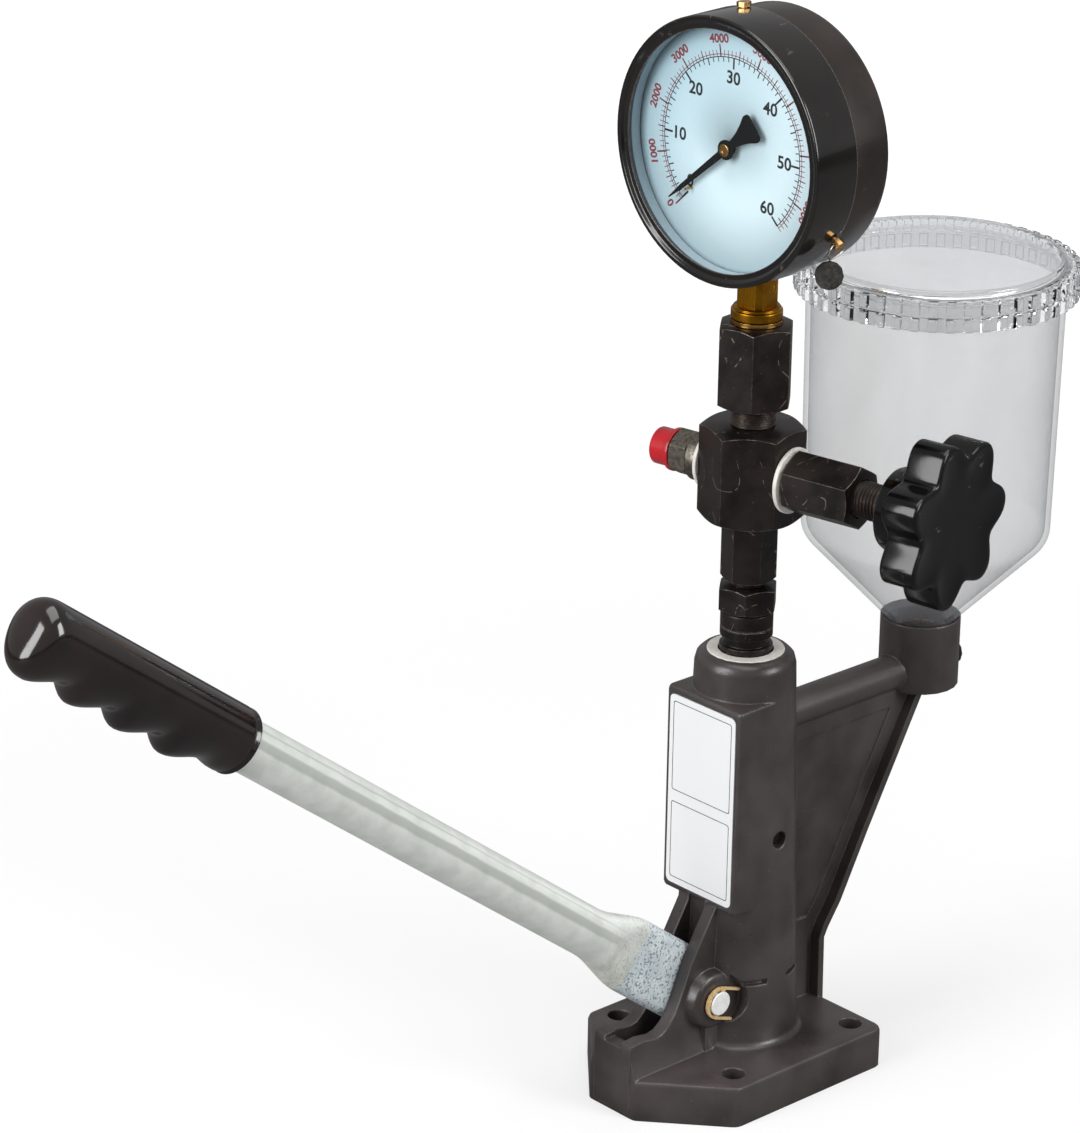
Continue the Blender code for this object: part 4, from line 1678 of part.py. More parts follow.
def make_pin_and_clip():
    """The pivot pin through both ears, held by a spring clip in its groove."""
    end = BOSS_END + PIN_PROUD
    head = -(BOSS_END + GAP)
    groove = PIN_RADIUS - CLIP_GROOVE_DEPTH
    low, high = CLIP_LOW - GAP, CLIP_LOW + CLIP_THICKNESS + GAP
    profile = [
        (0.0, end), (PIN_RADIUS - GAP, end), (PIN_RADIUS, end - GAP), (PIN_RADIUS, high),
        (groove, high), (groove, low), (PIN_RADIUS, low), (PIN_RADIUS, head),
        (PIN_HEAD_RADIUS, head), (PIN_HEAD_RADIUS, head - PIN_HEAD_THICKNESS),
        (0.0, head - PIN_HEAD_THICKNESS),
    ]
    as_part(turned("pivot_pin", profile, ROUND_STEPS), STEEL, PIN_FRAME)

    inner = CLIP_HALF_WIDTH - CLIP_BAND
    tab, reach = CLIP_TAB_HALF, groove + GAP
    lean = math.degrees(math.asin(tab / inner))
    outline = [(CLIP_LEG, inner), (CLIP_LEG, CLIP_HALF_WIDTH)]
    outline += arc((0.0, 0.0), CLIP_HALF_WIDTH, 90, 270, TINY_STEPS)
    outline += [(CLIP_LEG, -CLIP_HALF_WIDTH), (CLIP_LEG, -inner), (tab, -inner), (tab, -reach),
                (-tab, -reach)]
    outline += arc((0.0, 0.0), inner, 270 - lean, 180 + lean, TAB_STEPS)
    outline += [(-reach, -tab), (-reach, tab)]
    outline += arc((0.0, 0.0), inner, 180 - lean, 90 + lean, TAB_STEPS)
    outline += [(-tab, reach), (tab, reach), (tab, inner)]
    clip = prism("retaining_clip", outline, CLIP_LOW, CLIP_LOW + CLIP_THICKNESS)
    as_part(clip, GOLD_ZINC, PIN_FRAME, rotation=(0.0, 0.0, math.radians(90 - CLIP_TURN_DEG)))


for make in (make_stand, make_label, make_pump, make_delivery, make_riser, make_cross,
             make_gauge_neck, make_gauge_stem, make_gauge_case, make_gauge_works, make_pointer,
             make_case_screws, make_seal_tag, make_valve, make_outlet, make_cup, make_lid,
             make_lever_tube, make_lever_tongue, make_grip, make_pin_and_clip):
    make()
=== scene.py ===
"""Looks of a diesel injector tester: a hand lever pump with a pressure gauge, a shut-off valve and a fuel cup.

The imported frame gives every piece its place. main() sets the camera and the studio, then builds one class
for each sub-assembly. Lengths are in metres, colours are sRGB hex codes.
"""

import json
import logging
import math
from abc import ABC, abstractmethod
from dataclasses import dataclass
from enum import Enum
from functools import cached_property
from typing import Callable, Iterable, Sequence

import bmesh
import bpy
from bpy.types import ID, Material, Mesh, Node, NodeSocket, NodeTree, Object, World
from mathutils import Matrix, Vector

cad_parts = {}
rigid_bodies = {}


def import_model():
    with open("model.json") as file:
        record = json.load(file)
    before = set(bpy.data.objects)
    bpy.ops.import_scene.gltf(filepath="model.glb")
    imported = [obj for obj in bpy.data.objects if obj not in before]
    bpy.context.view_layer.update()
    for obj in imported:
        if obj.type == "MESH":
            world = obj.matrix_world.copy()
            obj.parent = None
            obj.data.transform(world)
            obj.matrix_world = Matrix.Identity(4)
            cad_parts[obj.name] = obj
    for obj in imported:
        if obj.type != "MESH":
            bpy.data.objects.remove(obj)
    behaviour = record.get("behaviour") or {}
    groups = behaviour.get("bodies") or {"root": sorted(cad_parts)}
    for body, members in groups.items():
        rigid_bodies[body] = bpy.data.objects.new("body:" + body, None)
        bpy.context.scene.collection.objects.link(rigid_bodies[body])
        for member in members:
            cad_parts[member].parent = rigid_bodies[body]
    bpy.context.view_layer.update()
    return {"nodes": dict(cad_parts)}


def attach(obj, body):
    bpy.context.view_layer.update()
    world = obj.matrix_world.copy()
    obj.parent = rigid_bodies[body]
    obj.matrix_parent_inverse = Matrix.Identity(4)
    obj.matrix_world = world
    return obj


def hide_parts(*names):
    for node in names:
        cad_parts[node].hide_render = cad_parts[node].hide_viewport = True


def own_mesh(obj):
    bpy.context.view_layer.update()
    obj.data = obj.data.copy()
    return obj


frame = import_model()

LOG = logging.getLogger("injector_tester")

Point = tuple[float, ...]
Row = Sequence[Sequence[float]]
Colour = tuple[float, float, float, float]
Settings = dict[str, object] | None
Turns = tuple[tuple[str, float], ...]

CLEARANCE = 0.0003
ROUND_STEPS = 96
SMALL_ROUND_STEPS = 48
CORNER_STEPS = 5
MERGE_DISTANCE = 0.000001
SHARP_ANGLE = math.radians(38)
FLAT_ANGLE = math.radians(0.3)
CORNER_SHARE = 0.48
FLAT_PIECES = 12
CHAMFER_SLOPE = 0.5
NOISE_ROUGHNESS = 0.55
BEVEL_SAMPLES = 6
NO_STRETCH = (1.0, 1.0, 1.0)

STAND_BODY = "stand"


class Slot(str, Enum):
    """The record's material slots."""

    CASTING = "dark_casting"
    BLACK_STEEL = "black_oxide_steel"
    STEEL = "ground_steel"
    GALVANISED = "galvanised_steel"
    GREY_ZINC = "grey_zinc"
    BRASS = "brass"
    YELLOW_ZINC = "yellow_zinc"
    CASE = "gauge_case_black"
    DIAL = "dial_pale_blue"
    POINTER = "pointer_black"
    CLEAR = "clear_plastic"
    GLASS = "gauge_glass"
    KNOB = "glossy_black"
    GRIP = "grip_black"
    RED = "red_cap"
    WASHER = "white_washer"
    LABEL = "label_white"
    RUBBER = "black_rubber"
    SEAL = "dark_seal_lead"


def srgb(code: str) -> Colour:
    """Linear colour, with full alpha, of a six-digit sRGB hex code."""
    parts = [int(code[i:i + 2], 16) / 255 for i in (0, 2, 4)]
    linear = [c / 12.92 if c <= 0.04045 else ((c + 0.055) / 1.055) ** 2.4 for c in parts]
    return (*linear, 1.0)


def grey(level: float) -> Colour:
    """Linear grey with full alpha."""
    return (level, level, level, 1.0)


def operator(operation: str, swapped: bool = False) -> Callable[["Wire", "Term"], "Wire"]:
    """A method of Wire that adds one Math node; swapped puts the other term first."""

    def method(self: "Wire", other: "Term") -> "Wire":
        """This and other as one sum."""
        return self.graph.maths(operation, *((other, self) if swapped else (self, other)))

    return method


class Wire:
    """A node's output socket that takes part in sums, so that shader maths reads as maths."""

    __add__ = operator("ADD")
    __radd__ = operator("ADD", swapped=True)
    __sub__ = operator("SUBTRACT")
    __rsub__ = operator("SUBTRACT", swapped=True)
    __mul__ = operator("MULTIPLY")
    __rmul__ = operator("MULTIPLY", swapped=True)
    __pow__ = operator("POWER")

    def __init__(self, graph: "Graph", socket: NodeSocket) -> None:
        """Keeps the graph that the socket belongs to."""
        self.graph = graph
        self.socket = socket

    def step(self, start: float, end: float) -> "Wire":
        """Rises smoothly from 0 at start to 1 at end; falls where end is the smaller."""
        smooth = {"interpolation_type": "SMOOTHSTEP"}
        return self.graph.wire("Result", "MapRange", smooth, Value=self, From_Min=start, From_Max=end)


Term = Wire | float


class Graph:
    """A tree of nodes: a material's, a world's or a node group's."""

    def __init__(self, tree: NodeTree) -> None:
        """Keeps the tree."""
        self.tree = tree

    @classmethod
    def of(cls, owner: Material | World) -> "Graph":
        """The emptied tree of a material or a world."""
        owner.use_nodes = True
        owner.node_tree.nodes.clear()
        return cls(owner.node_tree)

    def plug(self, socket: NodeSocket, value: object) -> None:
        """Links a wire to the socket, or sets it to a constant; a hex code becomes its colour."""
        if isinstance(value, Wire):
            self.tree.links.new(value.socket, socket)
        else:
            socket.default_value = srgb(value) if isinstance(value, str) else value

    def node(self, kind: str, settings: Settings = None, *terms: object, **values: object) -> Node:
        """Adds a node.

        Args:
            kind: The node's type; a shader node's leaves out the prefix that all of them have.
            settings: The node's own properties, set before its sockets.
            terms: A wire or a constant for each of its first sockets.
            values: The same for sockets by name, with underscores for spaces.

        Returns:
            The new node.
        """
        made = self.tree.nodes.new(kind if "Node" in kind else "ShaderNode" + kind)
        for key, value in (settings or {}).items():
            setattr(made, key, value)
        for socket, term in zip(made.inputs, terms):
            self.plug(socket, term)
        for label, value in values.items():
            self.plug(made.inputs[label.replace("_", " ")], value)
        return made

    def wire(self, output: str | int, kind: str, settings: Settings = None, *terms: object,
             **values: object) -> Wire:
        """Adds a node, as node() does, and gives one of its outputs."""
        return Wire(self, self.node(kind, settings, *terms, **values).outputs[output])

    def maths(self, operation: str, *terms: Term) -> Wire:
        """One sum of numbers."""
        return self.wire(0, "Math", {"operation": operation}, *terms)

    def vector(self, operation: str, *terms: object, output: str = "Vector") -> Wire:
        """One sum of vectors."""
        return self.wire(output, "VectorMath", {"operation": operation}, *terms)

    def mix(self, share: Term, first: Wire | str | Colour, second: Wire | str | Colour) -> Wire:
        """Goes from the first colour to the second as share goes from 0 to 1."""
        made = self.node("Mix", {"data_type": "RGBA"}, share)
        self.plug(made.inputs[6], first)
        self.plug(made.inputs[7], second)
        return Wire(self, made.outputs[2])

    def coordinates(self, stretch: Point = NO_STRETCH, tilt: float = 0.0) -> Wire:
        """Object coordinates, turned about X by tilt and then stretched."""
        source = self.wire("Object", "TexCoord")
        if tilt:
            source = self.wire(0, "VectorRotate", {"rotation_type": "X_AXIS"}, Vector=source, Angle=tilt)
        return self.vector("MULTIPLY", source, stretch)

    def axes(self, tilt: float = 0.0) -> list[Wire]:
        """Object coordinates, turned about X by tilt, as three numbers."""
        place = self.coordinates(tilt=tilt)
        return [Wire(self, socket) for socket in self.node("SeparateXYZ", None, place).outputs]

    def rays(self, *kinds: str) -> list[Wire]:
        """For each kind of light path, 1 on a ray of that kind and 0 elsewhere."""
        path = self.node("LightPath").outputs
        return [Wire(self, path[f"Is {kind} Ray"]) for kind in kinds]

    def noise(self, size: float, detail: float = 2.0, stretch: Point = NO_STRETCH, tilt: float = 0.0) -> Wire:
        """Noise from 0 to 1 whose blotches are about size metres across."""
        place = self.coordinates(stretch, tilt)
        return self.wire("Fac", "TexNoise", None, Vector=place, Scale=1 / size, Detail=detail,
                         Roughness=NOISE_ROUGHNESS)

    def cells(self, size: float) -> Wire:
        """Distance to the nearest of scattered points about size metres apart, in cells."""
        return self.wire("Distance", "TexVoronoi", None, Vector=self.coordinates(), Scale=1 / size)

    def bevel(self, radius: float) -> Wire:
        """The surface normal with edges rounded off to that radius."""
        return self.wire(0, "Bevel", {"samples": BEVEL_SAMPLES}, Radius=radius)

    def edges(self, radius: float) -> Wire:
        """1 at edges, within that radius, and 0 on flat faces."""
        plain = self.wire("Normal", "NewGeometry")
        alike = self.vector("DOT_PRODUCT", self.bevel(radius), plain, output="Value")
        return (1.0 - alike).step(0.01, 0.16)

    def bump(self, height: Wire, distance: float, radius: float = 0.0) -> Wire:
        """The normal of a surface raised by height times distance, its edges rounded off to radius."""
        normal = {"Normal": self.bevel(radius)} if radius else {}
        return self.wire(0, "Bump", None, Height=height, Distance=distance, **normal)

    def close(self, shader: str = "BsdfPrincipled", end: str = "OutputMaterial", **values: object) -> None:
        """Ends the tree in a shader with those sockets."""
        self.node(end, None, Surface=self.wire(0, shader, None, **values))


@dataclass(frozen=True)
class Finish(ABC):
    """How a surface looks, with the record's slot that it stands for."""

    slot: Slot

    @abstractmethod
    def build(self, graph: Graph) -> None:
        """Makes the material's nodes."""


@dataclass(frozen=True)
class CastPaint(Finish):
    """Satin paint on a casting: soft edges with a painted highlight along them, fine grain, and slow changes of
    tone.
    """

    dark: str = "2a2423"
    light: str = "474040"
    # pale colour for specks, dust and the painted highlight along the edges
    pale_edge: str = "74696a"
    roughness: float = 0.33
    edge: float = 0.0011
    grain: float = 0.00009

    def build(self, graph: Graph) -> None:
        """Makes the nodes."""
        slow = graph.noise(0.045, 3.0)
        fine = graph.noise(0.0011, 4.0)
        flow = graph.noise(0.010, 2.0)
        specks = graph.cells(0.0045).step(0.10, 0.03)
        shade = graph.mix(slow.step(0.3, 0.7), self.dark, self.light)
        # painted highlight along the edges, partly rubbed paint, broken up by noise
        edge_highlight_and_wear = graph.edges(self.edge * 0.7) * (graph.noise(0.012, 3.0).step(0.42, 0.68) * 0.7 + 0.3)
        dust = graph.noise(0.0012, 2.0).step(0.70, 0.76) * graph.noise(0.02, 2.0).step(0.45, 0.65)
        colour = graph.mix(edge_highlight_and_wear * 0.80 + specks * 0.35 + dust * 0.5, shade, self.pale_edge)
        height = fine * 0.55 + flow * 0.9 + specks * 0.5
        graph.close(
            Base_Color=colour,
            Roughness=self.roughness + (fine - 0.5) * 0.25 + (slow - 0.5) * 0.15,
            Normal=graph.bump(height, self.grain, self.edge),
            Specular_IOR_Level=0.7,
        )


@dataclass(frozen=True)
class BlackOxide(Finish):
    """Blackened machined steel: brownish black, scratched, with bright nicks along its edges."""

    dark: str = "171312"
    brown: str = "2d2522"
    bright: str = "b3a698"
    roughness: float = 0.36
    scratch_direction: Point = (1.0, 1.0, 0.06)

    def build(self, graph: Graph) -> None:
        """Makes the nodes."""
        slow = graph.noise(0.014, 4.0)
        fine = graph.noise(0.0007, 4.0)
        draw = graph.noise(0.0012, 3.0, self.scratch_direction)
        contour = graph.maths("ABSOLUTE", graph.noise(0.013, 0.4, (1.0, 0.5, 0.6)) - 0.5)
        scratches = contour.step(0.005, 0.002) * graph.noise(0.0036, 3.0).step(0.50, 0.57)
        specks = graph.noise(0.0013, 2.0).step(0.70, 0.75)
        pale_edge = graph.edges(0.0006)
        nicks = pale_edge * (graph.noise(0.0035, 4.0).step(0.45, 0.58) * 0.75 + 0.25)
        shade = graph.mix(slow.step(0.32, 0.68), self.dark, self.brown)
        colour = graph.mix(nicks * 0.90 + scratches * 0.42 + specks * 0.22, shade, self.bright)
        height = draw * 0.5 + fine * 0.5 - scratches * 0.5
        graph.close(
            Base_Color=colour,
            Metallic=0.45 + nicks * 0.4,
            Roughness=self.roughness + (slow - 0.5) * 0.30 + (fine - 0.5) * 0.20,
            Normal=graph.bump(height, 0.00003, 0.0003),
        )


@dataclass(frozen=True)
class BareMetal(Finish):
    """Plated or bright metal with drawn lines and a mottled shade."""

    base: str = "b8bab6"
    shade: str = "8f9290"
    roughness: float = 0.30
    mottle: float = 0.006
    drawn: Point = (1.0, 1.0, 0.08)
    metallic: float = 1.0

    def build(self, graph: Graph) -> None:
        """Makes the nodes."""
        slow = graph.noise(self.mottle, 4.0)
        lines = graph.noise(0.0011, 3.0, self.drawn)
        fine = graph.noise(0.0005, 3.0)
        graph.close(
            Base_Color=graph.mix(slow.step(0.35, 0.72) * 0.8 + lines * 0.2, self.base, self.shade),
            Metallic=self.metallic,
            Roughness=self.roughness + (slow - 0.5) * 0.20 + (lines - 0.5) * 0.18,
            Normal=graph.bump(lines * 0.6 + fine * 0.4, 0.00002, 0.0002),
        )


@dataclass(frozen=True)
class LeverZinc(Finish):
    """Galvanised tube: pale and drawn, with a painted reflection as a dark band along its side, and speckles on
    the pressed end.
    """

    base: str = "e9ece7"
    shade: str = "d3d8d2"
    # colour of the painted reflection band along the tube's side
    dull: str = "9fa69e"
    warm: str = "c6cab8"
    flat_base: str = "e6eef1"
    flat_shade: str = "cbd7dc"
    speck: str = "54646c"
    tilt: float = math.radians(37.2)
    height_shift: float = 0.01635
    length_shift: float = 0.04379
    radius: float = 0.0100
    flat_end: float = 0.0415
    speckled_end: float = 0.078

    def build(self, graph: Graph) -> None:
        """Makes the nodes."""
        _, y, z = graph.axes(self.tilt)
        rise = (z - self.height_shift) * (1 / self.radius)
        along = -self.length_shift - y
        lines = graph.noise(0.0011, 3.0, (1.0, 0.03, 1.0), self.tilt)
        slow = graph.noise(0.010, 3.0)
        fine = graph.noise(0.0005, 3.0)
        flat = along.step(self.flat_end + 0.004, self.flat_end - 0.0005)
        near = along.step(self.speckled_end, self.flat_end + 0.004)
        # painted reflection: a dark band and a thin line along the tube at set heights about its axis, faded out
        # near the flare
        wave = rise + (slow - 0.5) * 0.10
        thin = wave.step(0.66, 0.69) * wave.step(0.76, 0.73)
        reflection_band = wave.step(0.00, 0.14) * wave.step(0.48, 0.36) + thin * 0.6
        tube = graph.mix(slow.step(0.35, 0.7) * 0.7 + lines * 0.3, self.base, self.shade)
        tube = graph.mix(reflection_band * (1.0 - near) * 0.66, tube, self.dull)
        tube = graph.mix(near * slow.step(0.40, 0.62) * 0.6, tube, self.warm)
        pressed = graph.mix(slow.step(0.3, 0.7), self.flat_base, self.flat_shade)
        spots = graph.noise(0.0011, 2.0).step(0.54, 0.61) * (near * 0.28 + flat * 0.42)
        graph.close(
            Base_Color=graph.mix(spots, graph.mix(flat, tube, pressed), self.speck),
            Metallic=0.20,
            Roughness=0.34 + (slow - 0.5) * 0.16 + (lines - 0.5) * 0.16,
            Normal=graph.bump(lines * 0.6 + fine * 0.4, 0.00002, 0.0002),
        )


@dataclass(frozen=True)
class Lacquer(Finish):
    """Glossy or satin paint or moulded plastic: a faint orange peel, dust, small handling marks and a painted
    highlight along its edges.
    """

    base: str = "0e0c0b"
    shade: str = "1b1614"
    roughness: float = 0.20
    coat: float = 0.3
    peel: float = 0.00003
    peel_size: float = 0.0030
    edge: float = 0.0004
    # colour of the painted highlight along the edges, also used for the handling marks
    edge_highlight_and_mark: str = "3a322e"
    edge_share: float = 0.3
    specular: float = 0.5

    def build(self, graph: Graph) -> None:
        """Makes the nodes."""
        slow = graph.noise(0.02, 3.0)
        fine = graph.noise(0.0009, 3.0)
        peel = graph.noise(self.peel_size, 2.0)
        marks = graph.noise(0.0040, 5.0, (1.0, 0.4, 1.0)).step(0.66, 0.72)
        colour = graph.mix(slow.step(0.3, 0.7), self.base, self.shade)
        # painted highlight along the edges, plus real handling marks
        edge_highlight_and_wear = graph.edges(self.edge) * self.edge_share + marks * 0.12
        graph.close(
            Base_Color=graph.mix(edge_highlight_and_wear, colour, self.edge_highlight_and_mark),
            Roughness=self.roughness + (fine - 0.5) * 0.06 + (slow - 0.5) * 0.08 + marks * 0.10,
            Specular_IOR_Level=self.specular,
            Coat_Weight=self.coat,
            Coat_Roughness=0.08,
            Normal=graph.bump(peel + fine * 0.15, self.peel, self.edge),
        )


@dataclass(frozen=True)
class Clear(Finish):
    """Clear moulded plastic or glass: faint face on, greyer where it is seen along its skin."""

    tint: str = "b6b8bc"
    edge_tint: str = "94979b"
    face_share: float = 0.10
    edge_share: float = 0.50
    roughness: float = 0.09
    ripple: float = 0.00002
    refracting: bool = False
    specular: float = 0.6

    def build(self, graph: Graph) -> None:
        """Makes the nodes."""
        facing = graph.wire("Facing", "LayerWeight", None, Blend=0.5)
        slow = graph.noise(0.03, 3.0, (1.0, 1.0, 0.4))
        fine = graph.noise(0.0015, 3.0)
        haze = self.face_share * (0.7 + slow * 0.6)
        if self.refracting:
            body = {"Transmission_Weight": 1.0, "IOR": 1.49}
        else:
            alpha = haze + facing ** 3.0 * (self.edge_share - self.face_share)
            body = {"Alpha": alpha, "Specular_IOR_Level": self.specular}
        graph.close(
            Base_Color=graph.mix(facing ** 2.0, self.tint, self.edge_tint),
            Roughness=self.roughness + (fine - 0.5) * 0.05,
            Normal=graph.bump(slow + fine * 0.1, self.ripple),
            **body,
        )


@dataclass(frozen=True)
class Enamel(Finish):
    """Pale printed or painted plate: an even colour with a painted shadow that darkens it towards negative X and
    the top, with a fine tooth.
    """

    base: str = "d6ebf2"
    shade: str = "b5d3de"
    roughness: float = 0.45
    reach: float = 0.09
    centre: float = 0.3857

    def build(self, graph: Graph) -> None:
        """Makes the nodes."""
        x, _, z = graph.axes()
        height = (z - self.centre) * (1 / self.reach)
        across = x * (1 / self.reach)
        fine = graph.noise(0.0006, 3.0)
        slow = graph.noise(0.02, 2.0)
        # painted shadow: the shade colour towards negative X and the top
        share = (across - height).step(-0.75, 0.75) + (slow - 0.5) * 0.1
        graph.close(
            Base_Color=graph.mix(share, self.shade, self.base),
            Roughness=self.roughness + (fine - 0.5) * 0.08,
            Normal=graph.bump(fine, 0.000006),
        )


@dataclass(frozen=True)
class Matt(Finish):
    """Nylon, rubber, lead or print: a dull skin with a fine rough tooth."""

    base: str = "d9d6d1"
    shade: str = "bdb8b2"
    roughness: float = 0.55
    tooth: float = 0.00003
    tooth_size: float = 0.0012
    metallic: float = 0.0

    def build(self, graph: Graph) -> None:
        """Makes the nodes."""
        slow = graph.noise(0.006, 3.0)
        fine = graph.noise(self.tooth_size, 4.0)
        share = slow.step(0.3, 0.7) * 0.6 + fine.step(0.45, 0.65) * 0.4
        graph.close(
            Base_Color=graph.mix(share, self.base, self.shade),
            Metallic=self.metallic,
            Roughness=self.roughness + (fine - 0.5) * 0.2,
            Normal=graph.bump(fine, self.tooth, 0.0002),
        )


class Look(Enum):
    """The finishes of the tester."""

    CASTING = CastPaint(Slot.CASTING)
    BLACK_STEEL = BlackOxide(Slot.BLACK_STEEL)
    SIDE_STEEL = BlackOxide(Slot.BLACK_STEEL, scratch_direction=(0.06, 1.0, 1.0))
    DARK_THREAD = BlackOxide(Slot.BLACK_STEEL, "1a1311", "2e2320", "6e6056", 0.40)
    STEEL = BareMetal(Slot.STEEL, "d8d8d6", "a5a6a6", 0.22)
    LEVER = LeverZinc(Slot.GALVANISED)
    # painted highlight: the pin is pure white and barely metallic, standing for the bright light on its end
    PIN = BareMetal(Slot.STEEL, "ffffff", "ececea", 0.34, 0.003, metallic=0.15)
    TONGUE = BareMetal(Slot.STEEL, "8f9494", "666b6c", 0.36, 0.004)
    GREY_ZINC = BareMetal(Slot.GREY_ZINC, "8d877c", "4f4a43", 0.40, 0.0016, NO_STRETCH)
    BRASS = BareMetal(Slot.BRASS, "b67f1e", "80550f", 0.30, 0.007)
    BRIGHT_BRASS = BareMetal(Slot.BRASS, "d8a860", "9b6f2f", 0.22, 0.004)
    YELLOW_ZINC = BareMetal(Slot.YELLOW_ZINC, "e9bd82", "b8874d", 0.22, 0.003)
    # painted highlight: a paler, less metallic copy of yellow zinc, so that the clip reads bright without
    # reflecting much
    CLIP = BareMetal(Slot.YELLOW_ZINC, "ffe2ae", "e6b872", 0.28, 0.003, metallic=0.45)
    # The colour after the edge radius is a painted highlight along the edges: the seam and rim lines of the gauge,
    # the lines on the knob's lobes.
    CASE = Lacquer(Slot.CASE, "1b1512", "2b221e", 0.30, 0.2, 0.00002, 0.004, 0.0005, "8d7d70", 0.80)
    BEZEL = Lacquer(Slot.CASE, "0c0908", "15100e", 0.18, 0.6, 0.00002, 0.004, 0.0006, "aca198", 0.95)
    KNOB = Lacquer(Slot.KNOB, "050404", "0a0808", 0.14, 0.0, 0.000015, 0.004, 0.0007, "b0a8a2", 0.90, 0.45)
    GRIP = Lacquer(Slot.GRIP, "120c0b", "1f1513", 0.14, 0.6, 0.00005, 0.006, 0.0008, "2c201c", 0.3)
    RED = Lacquer(Slot.RED, "c01522", "8f0c16", 0.28, 0.4, 0.00002, 0.003, 0.0004, "e2606a", 0.3)
    POINTER = Lacquer(Slot.POINTER, "020202", "050505", 0.60, 0.0, 0.00001, edge_share=0.0, specular=0.1)
    CLEAR = Clear(Slot.CLEAR, "a4a6ab", face_share=0.155)
    LID = Clear(Slot.CLEAR, "f6f7f8", "dcdee0", roughness=0.04, ripple=0.00004, refracting=True)
    LID_TOP = Clear(Slot.CLEAR, "dcdee2", "c6c9cd", 0.27, 0.62, 0.08, 0.00001)
    GLASS = Clear(Slot.GLASS, "eef6fa", "c8d6dc", 0.004, 0.10, 0.03, 0.000002, specular=0.15)
    GASKET = Clear(Slot.CLEAR, "e0e2e3", "a9acb0", 0.20, 0.8, 0.25)
    # The dial, its wall and the label carry a painted shadow gradient; on the dial it stands for the bezel's
    # shadow.
    DIAL = Enamel(Slot.DIAL)
    # a darker copy of the dial's enamel: painted shade on the wall inside the bezel
    SHADED_DIAL_WALL = Enamel(Slot.DIAL, "c0d2da", "93aab5", 0.40)
    LABEL = Enamel(Slot.LABEL, "f4f5f6", "eceef0", 0.38, 0.2, 0.12)
    BLACK_PRINT = Matt(Slot.DIAL, "0c0d0f", "191a1d", 0.5, 0.000004, 0.0004)
    RED_PRINT = Matt(Slot.DIAL, "7d2f39", "8e434c", 0.5, 0.000004, 0.0004)
    WASHER = Matt(Slot.WASHER, "e6e2dc", "cfc9c1", 0.42)
    RUBBER = Matt(Slot.RUBBER, "141414", "202020", 0.62)
    LEAD = Matt(Slot.SEAL, "2c2b29", "575550", 0.50, 0.0002, 0.0011, 0.5)
    SEAL_WIRE = BareMetal(Slot.STEEL, "b9b4aa", "8b867c", 0.3, 0.002)

    @cached_property
    def material(self) -> Material:
        """The finish's material, made once and named as the look."""
        made = bpy.data.materials.new(self.name.lower())
        self.value.build(Graph.of(made))
        return made


def link(name: str, data: ID) -> Object:
    """A new object in the scene."""
    made = bpy.data.objects.new(name, data)
    bpy.context.scene.collection.objects.link(made)
    return made


def evaluated(holder: Object) -> Mesh:
    """A mesh of the object as it is with its modifiers."""
    bpy.context.view_layer.update()
    return bpy.data.meshes.new_from_object(holder.evaluated_get(bpy.context.evaluated_depsgraph_get()))


def polar(radius: float, turn: float, height: float) -> Point:
    """Point at a radius, a turn about Z and a height."""
    return (radius * math.cos(turn), radius * math.sin(turn), height)


def ring(radii: Sequence[float], height: float, start: float = 0.0) -> list[Point]:
    """Points at even turns about Z, the first at start, one for each radius."""
    return [polar(radius, math.tau * i / len(radii) + start, height) for i, radius in enumerate(radii)]


def circle(radius: float, height: float, steps: int = ROUND_STEPS, start: float = 0.0) -> list[Point]:
    """Ring of points about Z."""
    return ring([radius] * steps, height, start)


def quarter(steps: int = CORNER_STEPS) -> list[tuple[float, float]]:
    """Sine and cosine at even steps of a quarter turn."""
    swings = [math.radians(90 * i / steps) for i in range(steps + 1)]
    return [(math.sin(swing), math.cos(swing)) for swing in swings]


def soften(points: Iterable[Point], closed: bool = False) -> list[tuple[float, float]]:
    """Rounds the corners of an outline.

    Args:
        points: (x, y) or, for a rounded corner, (x, y, radius).
        closed: Whether the last point joins the first.

    Returns:
        The outline's points, with each rounded corner as a curve.
    """
    corners = list(points)
    count = len(corners)
    outline: list[tuple[float, float]] = []
    for i, corner in enumerate(corners):
        here = Vector(corner[:2])
        if len(corner) < 3 or (not closed and i in (0, count - 1)):
            outline.append(tuple(here))
            continue
        before = Vector(corners[i - 1][:2]) - here
        after = Vector(corners[(i + 1) % count][:2]) - here
        half = before.angle(after) / 2
        reach = min(corner[2] / math.tan(half), CORNER_SHARE * before.length, CORNER_SHARE * after.length)
        start = here + before.normalized() * reach
        end = here + after.normalized() * reach
        for step in range(CORNER_STEPS + 1):
            share = step / CORNER_STEPS
            bend = start * (1 - share) ** 2 + here * 2 * share * (1 - share) + end * share ** 2
            outline.append(tuple(bend))
    return outline


def polygon(flats: float, corner: float = 0.0, rounding: float = 0.0002) -> list[tuple[float, float]]:
    """Outline of a hexagon bar.

    Args:
        flats: Distance across the flats.
        corner: Direction of the first corner, in degrees.
        rounding: Radius of the corners.

    Returns:
        Outline with points spread along each flat, so that a turned chamfer follows its curve.
    """
    radius = flats / 2 / math.cos(math.pi / 6)
    tips = [(*polar(radius, math.radians(corner + 60 * i), 0.0)[:2], rounding) for i in range(6)]
    rounded = soften(tips, closed=True)
    outline: list[tuple[float, float]] = []
    for start, end in zip(rounded, rounded[1:] + rounded[:1]):
        pieces = FLAT_PIECES if math.dist(start, end) > flats / 5 else 1
        outline += [tuple(Vector(start).lerp(Vector(end), step / pieces)) for step in range(pieces)]
    return outline


def level(outline: Iterable[Sequence[float]], height: float) -> list[Point]:
    """The outline at that height."""
    return [(point[0], point[1], height) for point in outline]


def spread(outline: Iterable[Sequence[float]], radius: float, height: float) -> list[Point]:
    """The outline's points moved along their own directions onto a circle."""
    return level([Vector(point[:2]).normalized() * radius for point in outline], height)


